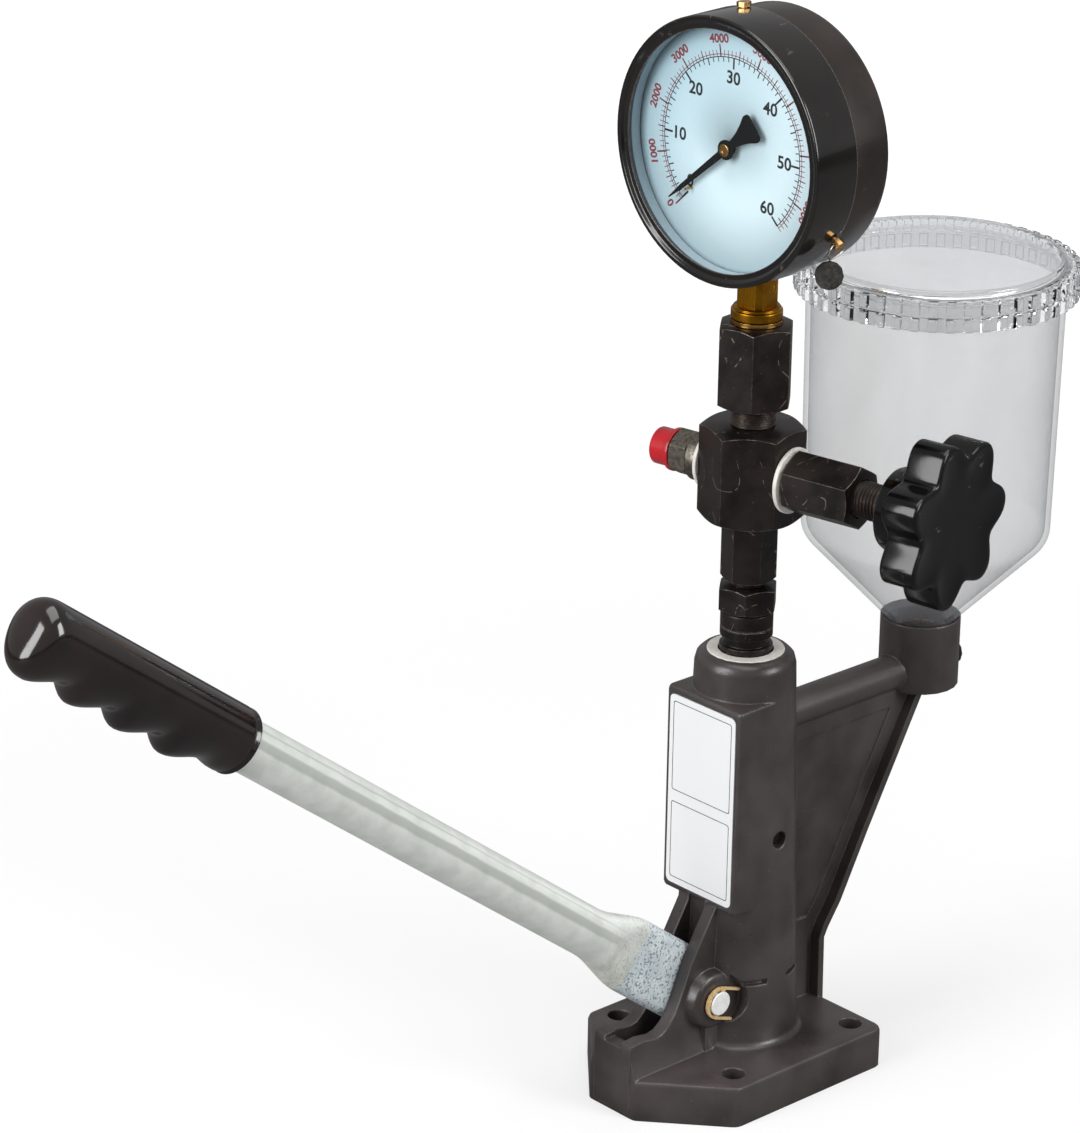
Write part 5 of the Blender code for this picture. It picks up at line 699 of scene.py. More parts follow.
class Solid:
    """A mesh under way, made of lofts in a frame of its own."""

    def __init__(self, place: Matrix | None = None) -> None:
        """Starts an empty mesh; place takes its own coordinates to the tester's."""
        self.mesh = bmesh.new()
        self.place = place or Matrix.Identity(4)

    def loft(self, rows: Sequence[Row], looped: bool = False, paint: int = 0) -> None:
        """Joins rings of equally many points with faces.

        Args:
            rows: The rings, in order.
            looped: Whether the last ring joins the first; otherwise both ends are capped.
            paint: Index of the material that the faces take.
        """
        rings = [[self.mesh.verts.new(self.place @ Vector(point)) for point in row] for row in rows]
        for lower, upper in zip(rings, rings[1:] + rings[:1] if looped else rings[1:]):
            for i in range(len(lower)):
                j = (i + 1) % len(lower)
                self.mesh.faces.new((lower[i], lower[j], upper[j], upper[i])).material_index = paint
        if not looped:
            for end in (rings[0], rings[-1]):
                self.mesh.faces.new(end).material_index = paint

    def turn(self, profile: Sequence[Point], steps: int = ROUND_STEPS) -> None:
        """Turns a profile of (radius, height, rounding) about Z; off the axis it closes on itself."""
        looped = profile[0][0] > 0
        self.loft([circle(radius, height, steps) for radius, height in soften(profile, looped)], looped)

    def bar(self, outline: Row, low: float, high: float, chamfer: float, bore: Point | None = None) -> None:
        """A bar with turned-down ends.

        Args:
            outline: The bar's section.
            low: Height of its lower end.
            high: Height of its upper end.
            chamfer: Radius of the flat face that turning leaves at each end.
            bore: Radius and floor height of a hole in the upper end.
        """
        drop = [max(0.0, math.hypot(*point[:2]) - chamfer) * CHAMFER_SLOPE for point in outline]
        rows = [
            spread(outline, chamfer, low),
            [(p[0], p[1], low + d) for p, d in zip(outline, drop)],
            [(p[0], p[1], high - d) for p, d in zip(outline, drop)],
            spread(outline, chamfer, high),
        ]
        if bore:
            rows += [spread(outline, bore[0], height) for height in (high, bore[1])]
        self.loft(rows)

    def take(self, mesh: Mesh, place: Matrix = Matrix.Identity(4), paint: int = 0) -> None:
        """Adds a ready mesh, which is then removed."""
        mesh.transform(self.place @ place)
        known = len(self.mesh.faces)
        self.mesh.from_mesh(mesh)
        self.mesh.faces.ensure_lookup_table()
        for face in self.mesh.faces[known:]:
            face.material_index = paint
        bpy.data.meshes.remove(mesh)

    def piece(self, name: str, node: str, *looks: Look, body: str = STAND_BODY,
              tidy: bool = True) -> Object:
        """Makes the object, dresses it and hangs it on its body.

        Args:
            name: The object's name.
            node: The CAD node that it stands for.
            looks: Its finishes, in the order of the paint numbers.
            body: The body that carries it.
            tidy: Whether doubles are merged and all faces turned outward.

        Returns:
            The finished object.
        """
        if tidy:
            bmesh.ops.remove_doubles(self.mesh, verts=self.mesh.verts, dist=MERGE_DISTANCE)
            bmesh.ops.dissolve_degenerate(self.mesh, edges=self.mesh.edges, dist=MERGE_DISTANCE)
            bmesh.ops.recalc_face_normals(self.mesh, faces=self.mesh.faces)
        for face in self.mesh.faces:
            face.smooth = True
        for edge in self.mesh.edges:
            edge.smooth = len(edge.link_faces) == 2 and edge.calc_face_angle(0.0) < SHARP_ANGLE
        data = bpy.data.meshes.new(name)
        self.mesh.to_mesh(data)
        self.mesh.free()
        made = link(name, data)
        for look in looks:
            data.materials.append(look.material)
        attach(made, body)
        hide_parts(node)
        LOG.info("  %s", name)
        return made


def smooth_copy(node: str, look: Look, body: str = STAND_BODY) -> Object:
    """Stands a smooth-shaded copy of a CAD node, its loose triangles merged, in its place."""
    copy = Solid()
    copy.take(frame["nodes"][node].data.copy())
    bmesh.ops.remove_doubles(copy.mesh, verts=copy.mesh.verts, dist=MERGE_DISTANCE)
    bmesh.ops.dissolve_limit(copy.mesh, angle_limit=FLAT_ANGLE, verts=copy.mesh.verts, edges=copy.mesh.edges)
    made = copy.piece(node + "_finished", node, look, body=body)
    evener = made.modifiers.new("even_normals", "WEIGHTED_NORMAL")
    evener.keep_sharp = True
    even = evaluated(made)
    made.modifiers.remove(evener)
    made.data = even
    return made


def dress(look: Look, *nodes: str) -> None:
    """Gives CAD nodes a finish in place of their plain one."""
    for node in nodes:
        for holder in frame["nodes"][node].material_slots:
            holder.material = look.material
        LOG.info("  %s", node)


def text_mesh(words: str, size: float, weight: float) -> Mesh:
    """Flat mesh of a plain number, centred on its origin, its strokes thickened by weight on each side."""
    curve = bpy.data.curves.new("number", "FONT")
    curve.body = words
    curve.size = size
    curve.offset = weight
    curve.align_x = curve.align_y = "CENTER"
    curve.resolution_u = 4
    holder = link("number", curve)
    mesh = evaluated(holder)
    bpy.data.objects.remove(holder)
    bpy.data.curves.remove(curve)
    return mesh


class ArcOfBlocks:
    """Geometry nodes that set equal thin blocks round an arc, clockwise from the top."""

    SOCKETS = {"Count": "Int", "Start": "Float", "Step": "Float", "Radius": "Float", "Height": "Float",
               "Size": "Vector", "Material": "Material"}

    def __init__(self) -> None:
        """Builds the node group once; every arc of marks uses it."""
        self.tree = bpy.data.node_groups.new("arc_of_blocks", "GeometryNodeTree")
        sockets = self.tree.interface
        self.ids = {
            label: sockets.new_socket(label, in_out="INPUT", socket_type="NodeSocket" + kind).identifier
            for label, kind in self.SOCKETS.items()
        }
        sockets.new_socket("Geometry", in_out="OUTPUT", socket_type="NodeSocketGeometry")
        graph = Graph(self.tree)
        outputs = graph.node("NodeGroupInput").outputs
        given = {label: Wire(graph, outputs[label]) for label in self.SOCKETS}
        index = graph.wire(0, "GeometryNodeInputIndex")
        turn = graph.maths("MULTIPLY_ADD", index, given["Step"], given["Start"])
        across = graph.maths("SINE", turn) * given["Radius"]
        up = graph.maths("COSINE", turn) * given["Radius"]
        place = graph.wire(0, "CombineXYZ", None, across, up, given["Height"])
        facing = graph.wire(0, "CombineXYZ", Z=turn * -1.0)
        points = graph.wire(0, "GeometryNodePoints", Count=given["Count"], Position=place)
        block = graph.wire(0, "GeometryNodeMeshCube", Size=given["Size"])
        copies = graph.wire(0, "GeometryNodeInstanceOnPoints", Points=points, Instance=block, Rotation=facing)
        real = graph.wire(0, "GeometryNodeRealizeInstances", None, copies)
        dressed = graph.wire(0, "GeometryNodeSetMaterial", Geometry=real, Material=given["Material"])
        graph.node("NodeGroupOutput", None, dressed)

    def mesh(self, **values: object) -> Mesh:
        """The blocks as a plain mesh, for those inputs of the group."""
        holder = link("blocks", bpy.data.meshes.new("blocks"))
        modifier = holder.modifiers.new("blocks", "NODES")
        modifier.node_group = self.tree
        for label, value in values.items():
            modifier[self.ids[label]] = value
        made = evaluated(holder)
        bpy.data.objects.remove(holder)
        return made


def frame_at(place: Point, *turns: tuple[str, float]) -> Matrix:
    """A frame at place, turned in order about the named axes by the given degrees."""
    matrix = Matrix.Translation(place)
    for axis, degrees in turns:
        matrix = matrix @ Matrix.Rotation(math.radians(degrees), 4, axis)
    return matrix


@dataclass
class Studio:
    """Camera, lamps, backdrop and floor."""

    eye: Point = (1.167124, -1.176816, 0.871110)
    right: Point = (0.670877, 0.741431, 0.014312)
    up: Point = (-0.281336, 0.236612, 0.929981)
    back: Point = (0.686130, -0.627929, 0.367329)
    focal_pixels: float = 4593.82
    photo_width: float = 1080.0
    photo_height: float = 1133.0
    centre_x: float = 541.77
    centre_y: float = 555.33
    sensor: float = 36.0
    middle: Point = (0.0, 0.0, 0.2)
    floor_half: float = 9.0
    floor_shade: float = 0.34
    floor_mirrored_shade: float = 0.14
    floor_near_glow: float = 0.61
    floor_far_glow: float = 0.88
    floor_far: Point = (0.30, 1.40)
    floor_glow: float = 0.10
    room_light: float = 0.34
    lamps: tuple[tuple[str, Point, Point, float], ...] = (
        ("left_softbox", (-0.2, -1.8, 0.9), (0.9, 1.5), 31.0),
        ("right_softbox", (1.9, 0.7, 1.1), (0.8, 1.4), 29.0),
        ("top_softbox", (0.2, 0.0, 1.9), (1.4, 1.4), 17.0),
    )

    def camera(self) -> None:
        """Places the camera that the photograph was taken with."""
        data = bpy.data.cameras.new("camera")
        data.sensor_fit = "VERTICAL"
        data.sensor_height = self.sensor
        data.lens = self.focal_pixels * self.sensor / self.photo_height
        data.shift_x = (self.photo_width / 2 - self.centre_x) / self.photo_height
        data.shift_y = (self.centre_y - self.photo_height / 2) / self.photo_height
        holder = link("camera", data)
        axes = Matrix((self.right, self.up, self.back)).transposed()
        holder.matrix_world = Matrix.Translation(self.eye) @ axes.to_4x4()
        bpy.context.scene.camera = holder

    def lamp(self, name: str, place: Point, size: Point, power: float) -> None:
        """Adds a soft rectangular lamp that faces the middle of the object."""
        data = bpy.data.lights.new(name, "AREA")
        data.shape = "RECTANGLE"
        data.size, data.size_y = size
        data.energy = power
        holder = link(name, data)
        holder.rotation_euler = (Vector(place) - Vector(self.middle)).to_track_quat("Z", "Y").to_euler()
        holder.location = place

    def floor(self) -> None:
        """Lays a plain white floor that keeps a soft shadow."""
        half = self.floor_half
        data = bpy.data.meshes.new("floor")
        corners = [(-half, -half, 0), (half, -half, 0), (half, half, 0), (-half, half, 0)]
        data.from_pydata(corners, [], [(0, 1, 2, 3)])
        made = link("floor", data)
        white = bpy.data.materials.new("floor_white")
        data.materials.append(white)
        graph = Graph.of(white)
        seen, through, mirrored = graph.rays("Camera", "Transmission", "Glossy")
        distance = graph.vector("LENGTH", graph.coordinates(), output="Value")
        span = self.floor_far_glow - self.floor_near_glow
        bright = self.floor_near_glow + distance.step(*self.floor_far) * span
        glow = self.floor_glow + (seen + through) * (bright - self.floor_glow)
        graph.close(
            Base_Color=graph.mix(mirrored, grey(self.floor_shade), grey(self.floor_mirrored_shade)),
            Roughness=0.9,
            Specular_IOR_Level=0.0,
            Emission_Color=grey(1.0),
            Emission_Strength=glow - mirrored * self.floor_glow * 0.8,
        )

    def backdrop(self) -> None:
        """White behind the object, softer white light from all round."""
        world = bpy.data.worlds.new("studio")
        bpy.context.scene.world = world
        graph = Graph.of(world)
        seen = graph.maths("MAXIMUM", *graph.rays("Camera", "Transmission"))
        strength = graph.wire("Result", "MapRange", Value=seen, To_Min=self.room_light)
        graph.close("Background", "OutputWorld", Color=grey(1.0), Strength=strength)

    def build(self) -> None:
        """Sets up everything round the object."""
        self.camera()
        self.floor()
        self.backdrop()
        for lamp in self.lamps:
            self.lamp(*lamp)
        bpy.context.scene.view_settings.view_transform = "Standard"


@dataclass
class Assembly(ABC):
    """A sub-assembly, whose pieces are built in a frame of its own."""

    centre: Point = (0.0, 0.0, 0.0)
    turns: Turns = ()

    def __post_init__(self) -> None:
        """Works out the frame."""
        self.place = frame_at(self.centre, *self.turns)

    @abstractmethod
    def build(self) -> None:
        """Builds its pieces."""

    def lofted(self, name: str, node: str, look: Look, rows: Sequence[Row], body: str,
               looped: bool = False) -> None:
        """Makes a piece out of one loft."""
        solid = Solid(self.place)
        solid.loft(rows, looped)
        solid.piece(name, node, look, body=body)

    def turned(self, name: str, node: str, look: Look, profile: Sequence[Point], steps: int = ROUND_STEPS,
               body: str = STAND_BODY) -> None:
        """Makes a piece out of one turned profile."""
        solid = Solid(self.place)
        solid.turn(profile, steps)
        solid.piece(name, node, look, body=body)


@dataclass(frozen=True)
class Scale:
    """One printed scale of the dial.

    The ticks are given as (units apart, length, width). An inner scale's ticks point to the centre and
    its numbers stand upright, an outer one's turn the other way.
    """

    look: Look
    paint: int
    inner: bool
    full: float
    unit: int
    ticks: tuple[Point, ...]
    line_radius: float
    line_width: float
    number_every: int
    number_radius: float
    number_size: float
    zero_shift: float


@dataclass
class Gauge(Assembly):
    """The gauge: drum, bezel, dial, pointer, screws, lead seal and the brass stem below.

    In its own frame X is across, Y is up and Z is towards the reader.
    """

    centre: Point = (0.0, 0.0, 0.3857)
    turns: Turns = (("Z", 2.23), ("X", 90.0))
    bezel_radius: float = 0.0515
    bezel_rear: float = 0.0042
    bezel_front: float = 0.0257
    opening: float = 0.0463
    case_radius: float = 0.0502
    case_back: float = -0.0157
    case_floor: float = 0.0016
    case_wall: float = 0.0026
    case_shoulder: float = 0.0012
    case_step: float = 0.0034
    case_mouth: float = 0.0128
    dial_radius: float = 0.0493
    dial_bore: float = 0.0022
    dial_back: float = 0.0160
    dial_front: float = 0.0170
    print_rise: float = 0.00004
    tick_radius: float = 0.0345
    line_steps: int = 120
    number_width: float = 1.04
    number_weight: float = 0.00015
    sweep_start: float = -135.0
    sweep: float = 270.0
    pointer_depth: float = 0.0198
    pointer_thickness: float = 0.0006
    pointer_rest: float = 130.7
    pointer_boss: float = 0.0038
    pointer_steps: int = 110
    pointer_widths: tuple[Point, ...] = (
        (-0.0185, 0.0046), (-0.0178, 0.0056), (-0.0160, 0.0057), (-0.0125, 0.0039), (-0.0090, 0.0026),
        (-0.0045, 0.0016), (0.0, 0.0015), (0.0040, 0.0014), (0.0290, 0.0009), (0.0375, 0.0002),
    )
    stem_width: float = 0.0130
    stem_cut: float = 0.0022
    stem_corner: float = 0.0006
    stem_turn: float = 5.0
    stem_low: float = 0.3208
    stem_high: float = 0.3617
    scales: tuple[Scale, ...] = (
        Scale(
            Look.BLACK_PRINT, paint=1, inner=True, full=60.0, unit=1,
            ticks=((1, 0.0019, 0.00038), (5, 0.0027, 0.00048), (10, 0.0042, 0.00078)),
            line_radius=0.0345, line_width=0.00032,
            number_every=10, number_radius=0.0268, number_size=0.0068, zero_shift=5.0,
        ),
        Scale(
            Look.RED_PRINT, paint=2, inner=False, full=8702.0, unit=100,
            ticks=((1, 0.0026, 0.00030), (5, 0.0034, 0.00042), (10, 0.0048, 0.00064)),
            line_radius=0.0355, line_width=0.00028,
            number_every=1000, number_radius=0.0412, number_size=0.0047, zero_shift=2.5,
        ),
    )

    def case(self) -> None:
        """The drum, the rim with its rolled front lip, the pale wall that holds the glass, and the glass."""
        back, radius = self.case_back, self.case_radius
        neck, inside = radius - self.case_shoulder, radius - self.case_wall
        self.turned("gauge_drum", "gauge_case", Look.CASE, [
            (0.0, back), (radius, back, 0.0030), (radius, self.case_step, 0.0003),
            (neck, self.case_step + 0.0002), (neck, self.case_mouth), (inside, self.case_mouth),
            (inside, back + self.case_floor), (0.0, back + self.case_floor),
        ])
        outer, front, rear = self.bezel_radius, self.bezel_front, self.bezel_rear
        self.turned("gauge_rim", "gauge_bezel", Look.BEZEL, [
            (outer, rear, 0.0001), (outer, front, 0.0018), (0.0496, front, 0.0008),
            (0.0484, front - 0.0010, 0.0006), (self.opening, front - 0.0011, 0.0003),
            (self.opening, front - 0.0016), (0.0499, front - 0.0016), (0.0499, rear, 0.0002),
        ])
        # the wall takes the dial's enamel darkened as painted shade
        self.turned("shaded_dial_wall", "glass_seal", Look.SHADED_DIAL_WALL,
                    [(0.0474, 0.0173), (0.0474, 0.0217), (0.0493, 0.0217), (0.0493, 0.0173)])
        self.turned("gauge_window", "gauge_glass", Look.GLASS,
                    [(0.0, 0.0220), (0.0493, 0.0220, 0.0002), (0.0493, 0.0240, 0.0002), (0.0, 0.0240)])

    def line(self, dial: Solid, scale: Scale) -> None:
        """Prints the thin line round a scale."""
        half = scale.line_width / 2
        low, high = self.dial_front, self.dial_front + self.print_rise
        rows = []
        for i in range(self.line_steps + 1):
            turn = math.radians(self.sweep_start + self.sweep * i / self.line_steps)
            across = Vector((math.sin(turn), math.cos(turn)))
            corners = ((-half, low), (half, low), (half, high), (-half, high))
            rows.append([(*(across * (scale.line_radius + side)), height) for side, height in corners])
        dial.loft(rows, paint=scale.paint)

    def ticks(self, dial: Solid, scale: Scale, blocks: ArcOfBlocks) -> None:
        """Prints a scale's ticks, each kind as one arc of blocks."""
        for spacing, length, width in scale.ticks:
            dial.take(blocks.mesh(
                Count=int(scale.full / scale.unit) // spacing + 1,
                Start=math.radians(self.sweep_start),
                Step=math.radians(self.sweep / scale.full * scale.unit * spacing),
                Radius=self.tick_radius + (-length if scale.inner else length) / 2,
                Height=self.dial_front + self.print_rise / 2,
                Size=(width, length, self.print_rise),
                Material=scale.look.material,
            ), paint=scale.paint)

    def numbers(self, dial: Solid, scale: Scale) -> None:
        """Prints a scale's numbers; the zero is moved a little, clear of the pointer's rest."""
        squeeze = Matrix.Diagonal((self.number_width, 1.0, 1.0, 1.0))
        for value in range(0, int(scale.full) + 1, scale.number_every):
            shift = 0 if value else scale.zero_shift
            turn = math.radians(self.sweep_start + self.sweep * value / scale.full + shift)
            across = scale.number_radius * math.sin(turn)
            up = scale.number_radius * math.cos(turn)
            spot = Matrix.Translation((across, up, self.dial_front + self.print_rise))
            lean = Matrix.Rotation(0.0 if scale.inner else -turn, 4, "Z")
            number = text_mesh(str(value), scale.number_size, self.number_weight)
            dial.take(number, spot @ lean @ squeeze, scale.paint)

    def dial(self) -> None:
        """The enamelled plate with its two printed scales; it bears numbers and ticks only."""
        blocks = ArcOfBlocks()
        plate = Solid(self.place)
        edges = ((self.dial_bore, self.dial_back), (self.dial_radius, self.dial_back),
                 (self.dial_radius, self.dial_front), (self.dial_bore, self.dial_front))
        plate.turn(edges)
        for scale in self.scales:
            self.line(plate, scale)
            self.ticks(plate, scale, blocks)
            self.numbers(plate, scale)
        plate.piece("dial_plate", "gauge_dial", Look.DIAL, *[scale.look for scale in self.scales], tidy=False)

    def half_width(self, along: float) -> float:
        """Half the pointer's width at a distance from its spindle, negative on its tail."""
        half = 0.0
        for (start, width), (end, next_width) in zip(self.pointer_widths, self.pointer_widths[1:]):
            if start <= along <= end:
                half = width + (next_width - width) * (along - start) / (end - start)
        if abs(along) < self.pointer_boss:
            half = max(half, math.sqrt(self.pointer_boss ** 2 - along ** 2))
        return half

    def pointer(self) -> None:
        """The pointer with its flared tail, and the brass hub on it."""
        place = self.place @ Matrix.Rotation(math.radians(90 + self.pointer_rest), 4, "Z")
        tail, tip = self.pointer_widths[0][0], self.pointer_widths[-1][0]
        stations = [tail + (tip - tail) * i / self.pointer_steps for i in range(self.pointer_steps + 1)]
        upper = [(along, self.half_width(along)) for along in stations]
        outline = upper + [(along, -half) for along, half in reversed(upper)]
        low = self.pointer_depth
        top = low + self.pointer_thickness
        needle = Solid(place)
        needle.loft([level(outline, low), level(outline, top)])
        needle.piece("needle_pointer", "pointer", Look.POINTER, body="pointer")
        foot = top + CLEARANCE / 4
        hub = Solid(place)
        hub.turn([(0.0, foot), (0.0024, foot), (0.0024, top + 0.0009, 0.0003), (0.0012, top + 0.0009, 0.0001),
                  (0.0010, top + 0.0006, 0.0001), (0.0, top + 0.0006)], SMALL_ROUND_STEPS)
        hub.piece("pointer_boss", "pointer_hub", Look.BRIGHT_BRASS, body="pointer")

    def stem(self) -> None:
        """The brass stem that screws into the union."""
        stem = Solid()
        stem.turn([(0.0, 0.3030), (0.0076, 0.3030), (0.0076, 0.3160), (0.0100, 0.3162, 0.0004),
                   (0.0100, 0.3196, 0.0006), (0.0092, 0.3200, 0.0002), (0.0092, 0.3206, 0.0002),
                   (0.0086, 0.3212, 0.0003), (0.0, 0.3212)])
        far = self.stem_width / 2
        near = far - self.stem_cut
        corners = []
        for side in range(4):
            spin = Matrix.Rotation(math.radians(90 * side + self.stem_turn), 2)
            corners += [(*(spin @ Vector(corner)), self.stem_corner) for corner in ((far, near), (near, far))]
        outline = soften(corners, closed=True)
        stem.loft([level(outline, self.stem_low), level(outline, self.stem_high)])
        stem.piece("brass_stem", "gauge_stem", Look.BRASS)

    def build(self) -> None:
        """Builds the gauge."""
        self.case()
        self.dial()
        self.pointer()
        self.stem()
        dress(Look.BRIGHT_BRASS, "zero_stop_pin")
        smooth_copy("gauge_washer", Look.BRIGHT_BRASS)
        for screw in ("case_screw_left", "case_screw_seal", "case_screw_top"):
            smooth_copy(screw, Look.YELLOW_ZINC)
        smooth_copy("seal_wire", Look.SEAL_WIRE, "seal_tag")
        smooth_copy("seal_disc", Look.LEAD, "seal_tag")
        dress(Look.BRASS, "bourdon_tube", "gauge_movement", "movement_link")


def thread(radius: float, depth: float, start: float, step: float, count: int) -> list[Point]:
    """Profile of a fine thread's ridges and roots along Z."""
    return [(radius - (depth if i % 2 else 0.0), start + step * i) for i in range(count)]


@dataclass
class DeliveryStack(Assembly):
    """The blackened fittings between the column and the gauge."""

    spanner_corner: float = 40.7
    other_corner: float = -48.5
    chamfer_share: float = 0.482

    def fitting(self, name: str, node: str, flats: float, corner: float, low: float, high: float,
                stub: Point | None = None) -> None:
        """A hexagon bar with turned ends.

        Args:
            name: The piece's name.
            node: The CAD node that it stands for.
            flats: Distance across the flats.
            corner: Direction of one corner, in degrees.
            low: Height of the lower end.
            high: Height of the upper end.
            stub: Radius and lowest height of a round stub under the bar.
        """
        body = Solid()
        body.bar(polygon(flats, corner), low, high, flats * self.chamfer_share)
        if stub:
            body.turn([(0.0, stub[1]), stub, (stub[0], low + 0.0004), (0.0, low + 0.0004)])
        body.piece(name, node, Look.BLACK_STEEL)

    def build(self) -> None:
        """Builds the stack from the column upwards."""
        self.turned("mouth_ring", "column_top_ring", Look.WASHER,
                    [(0.0109, 0.1784), (0.0153, 0.1784), (0.0153, 0.1802, 0.0004), (0.0109, 0.1802, 0.0002)])
        self.turned("adaptor", "delivery_adaptor", Look.BLACK_STEEL, [
            (0.0, 0.1650), (0.0093, 0.1650), (0.0093, 0.1801), (0.0105, 0.1803, 0.0002), (0.0105, 0.1825, 0.0004),
            (0.0090, 0.1828, 0.0004), (0.0090, 0.1858, 0.0004), (0.0104, 0.1861, 0.0005), (0.0104, 0.1897, 0.0002),
            (0.0101, 0.1899), (0.0101, 0.1903), (0.0104, 0.1905, 0.0002), (0.0104, 0.1965, 0.0009), (0.0, 0.1965),
        ])
        self.fitting("locking_nut", "lock_nut", 0.0215, self.other_corner, 0.1968, 0.2072)
        self.fitting("riser_bar", "riser", 0.019, self.spanner_corner, 0.2095, 0.2345, (0.0067, 0.2075))
        self.fitting("cross_bar", "cross_body", 0.036, self.spanner_corner, 0.2350, 0.2730)
        ridges = thread(0.0088, 0.0004, 0.2736, 0.00045, 14)
        self.turned("turned_neck", "upper_neck", Look.DARK_THREAD,
                    [(0.0, 0.2733), (0.0086, 0.2733), *ridges, (0.0086, 0.2807), (0.0, 0.2807)])
        self.fitting("union_nut", "gauge_union", 0.027, self.other_corner, 0.2810, 0.3140)


@dataclass
class Branch(Assembly):
    """An arm of the cross fitting, along its own Z outwards."""

    centre: Point = (0.0, 0.0, 0.2542)

    def washer(self, name: str, node: str, radius: float, top: float) -> None:
        """The white sealing washer against the cross."""
        self.turned(name, node, Look.WASHER,
                    [(0.0079, 0.0183), (radius, 0.0183, 0.0005), (radius, top, 0.0005), (0.0079, top)])


@dataclass
class Valve(Branch):
    """The shut-off valve: washer, body, threaded spindle and lobed knob."""

    turns: Turns = (("Z", 10.7), ("Y", 90.0))
    body_start: float = 0.0204
    body_end: float = 0.0509
    body_flats: float = 0.0220
    chamfer_share: float = 0.478
    bore_floor: float = 0.030
    thread_start: float = 0.0335
    thread_radius: float = 0.0074
    thread_depth: float = 0.00075
    thread_turns: int = 21
    pitch: float = 0.0015
    rows_per_turn: int = 8
    rod_radius: float = 0.0048
    rod_end: float = 0.0790
    knob_radius: float = 0.0335
    knob_steps: int = 224
    lobe_depth: float = 0.0075
    lobe_power: float = 1.15
    lobes: int = 7
    knob_turn: float = 40.0
    knob_back: float = 0.0787
    knob_front: float = 0.09415
    back_round: float = 0.0014
    front_round: float = 0.0012

    def body(self) -> None:
        """The hexagon body, bored for the spindle."""
        bar = Solid(self.place)
        bar.bar(polygon(self.body_flats), self.body_start, self.body_end, self.body_flats * self.chamfer_share,
                (self.thread_radius + CLEARANCE, self.bore_floor))
        bar.piece("valve_bar", "valve_body", Look.SIDE_STEEL)

    def spindle(self) -> None:
        """The spindle with a cut thread."""
        steps = SMALL_ROUND_STEPS
        rows = [circle(0.0062, self.thread_start - 0.0002, steps)]
        for i in range(self.thread_turns * self.rows_per_turn):
            phases = [(i / self.rows_per_turn - j / steps) % 1 for j in range(steps)]
            radii = [self.thread_radius - self.thread_depth * abs(2 * phase - 1) for phase in phases]
            rows.append(ring(radii, self.thread_start + self.pitch * i / self.rows_per_turn))
        rows += [circle(self.rod_radius, height, steps) for height in (rows[-1][0][2] + 0.0003, self.rod_end)]
        self.lofted("valve_screw", "valve_spindle", Look.DARK_THREAD, rows, "valve_knob")

    def lobed(self, inset: float, along: float) -> list[Point]:
        """The knob's outline, drawn in by inset."""
        turns = [math.tau * i / self.knob_steps for i in range(self.knob_steps)]
        waves = [(1 - math.cos(self.lobes * turn)) / 2 for turn in turns]
        radii = [self.knob_radius - self.lobe_depth * wave ** self.lobe_power - inset for wave in waves]
        return ring(radii, along, math.radians(self.knob_turn))

    def round_row(self, radius: float, along: float) -> list[Point]:
        """A round ring whose points match the lobed ones."""
        return circle(radius, along, self.knob_steps, math.radians(self.knob_turn))

    def knob(self) -> None:
        """The star knob: a hub, seven lobes, and a face that is dished a little."""
        back, front = self.knob_back, self.knob_front
        low, high = self.back_round, self.front_round
        hub = ((0.0050, 0.0659), (0.0146, 0.0657), (0.0158, 0.0661), (0.0163, 0.0672), (0.0163, back - 0.0008),
               (0.0170, back - 0.0001))
        rows = [self.round_row(radius, along) for radius, along in hub]
        rows.append(self.lobed(0.0040, back + 0.0002))
        rows += [self.lobed(low * (1 - s), back + low * (1 - c)) for s, c in quarter()]
        rows += [self.lobed(high * (1 - c), front - high * (1 - s)) for s, c in quarter()]
        rows += [self.lobed(0.0030, front), self.lobed(0.0042, front - 0.0003)]
        rows += [self.round_row(0.0160, front - 0.0007), self.round_row(0.0040, front - 0.0009)]
        self.lofted("star_knob", "valve_knob", Look.KNOB, rows, "valve_knob")

    def build(self) -> None:
        """Builds the valve."""
        self.washer("valve_seal_ring", "valve_washer", 0.0130, 0.0201)
        self.body()
        self.spindle()
        self.knob()
        dress(Look.STEEL, "valve_needle")


@dataclass
class Outlet(Branch):
    """The outlet to the injector: washer, plated nipple and red cap."""

    turns: Turns = (("Z", 190.7), ("Y", 90.0))

    def nipple(self) -> None:
        """The grey hexagon nipple with its collar and thread."""
        body = Solid(self.place)
        body.turn([(0.0, 0.0105), (0.0074, 0.0105), (0.0074, 0.0201), (0.0098, 0.0202, 0.0003),
                   (0.0098, 0.0254, 0.0008), (0.0, 0.0254)], SMALL_ROUND_STEPS)
        body.bar(polygon(0.0165, rounding=0.0004), 0.0252, 0.0339, 0.0080)
        ridges = thread(0.0056, 0.0004, 0.0338, 0.0004, 18)
        body.turn([(0.0, 0.0336), *ridges, (0.0050, 0.0415), (0.0, 0.0415)], SMALL_ROUND_STEPS)
        body.piece("outlet_fitting", "outlet_nipple", Look.GREY_ZINC)

    def build(self) -> None:
        """Builds the outlet; the red cap is hollow, with a flange round its mouth."""
        self.washer("outlet_seal_ring", "outlet_washer", 0.0118, 0.0199)
        self.nipple()
        self.turned("red_cap", "outlet_cap", Look.RED, [
            (0.0059, 0.0342), (0.0086, 0.0342, 0.0004), (0.0086, 0.0361, 0.0005), (0.0074, 0.0364, 0.0003),
            (0.0074, 0.0437, 0.0010), (0.0058, 0.0437, 0.0004), (0.0054, 0.0434, 0.0003), (0.0, 0.0434),
            (0.0, 0.0423), (0.0059, 0.0423),
        ], body="outlet_cap")


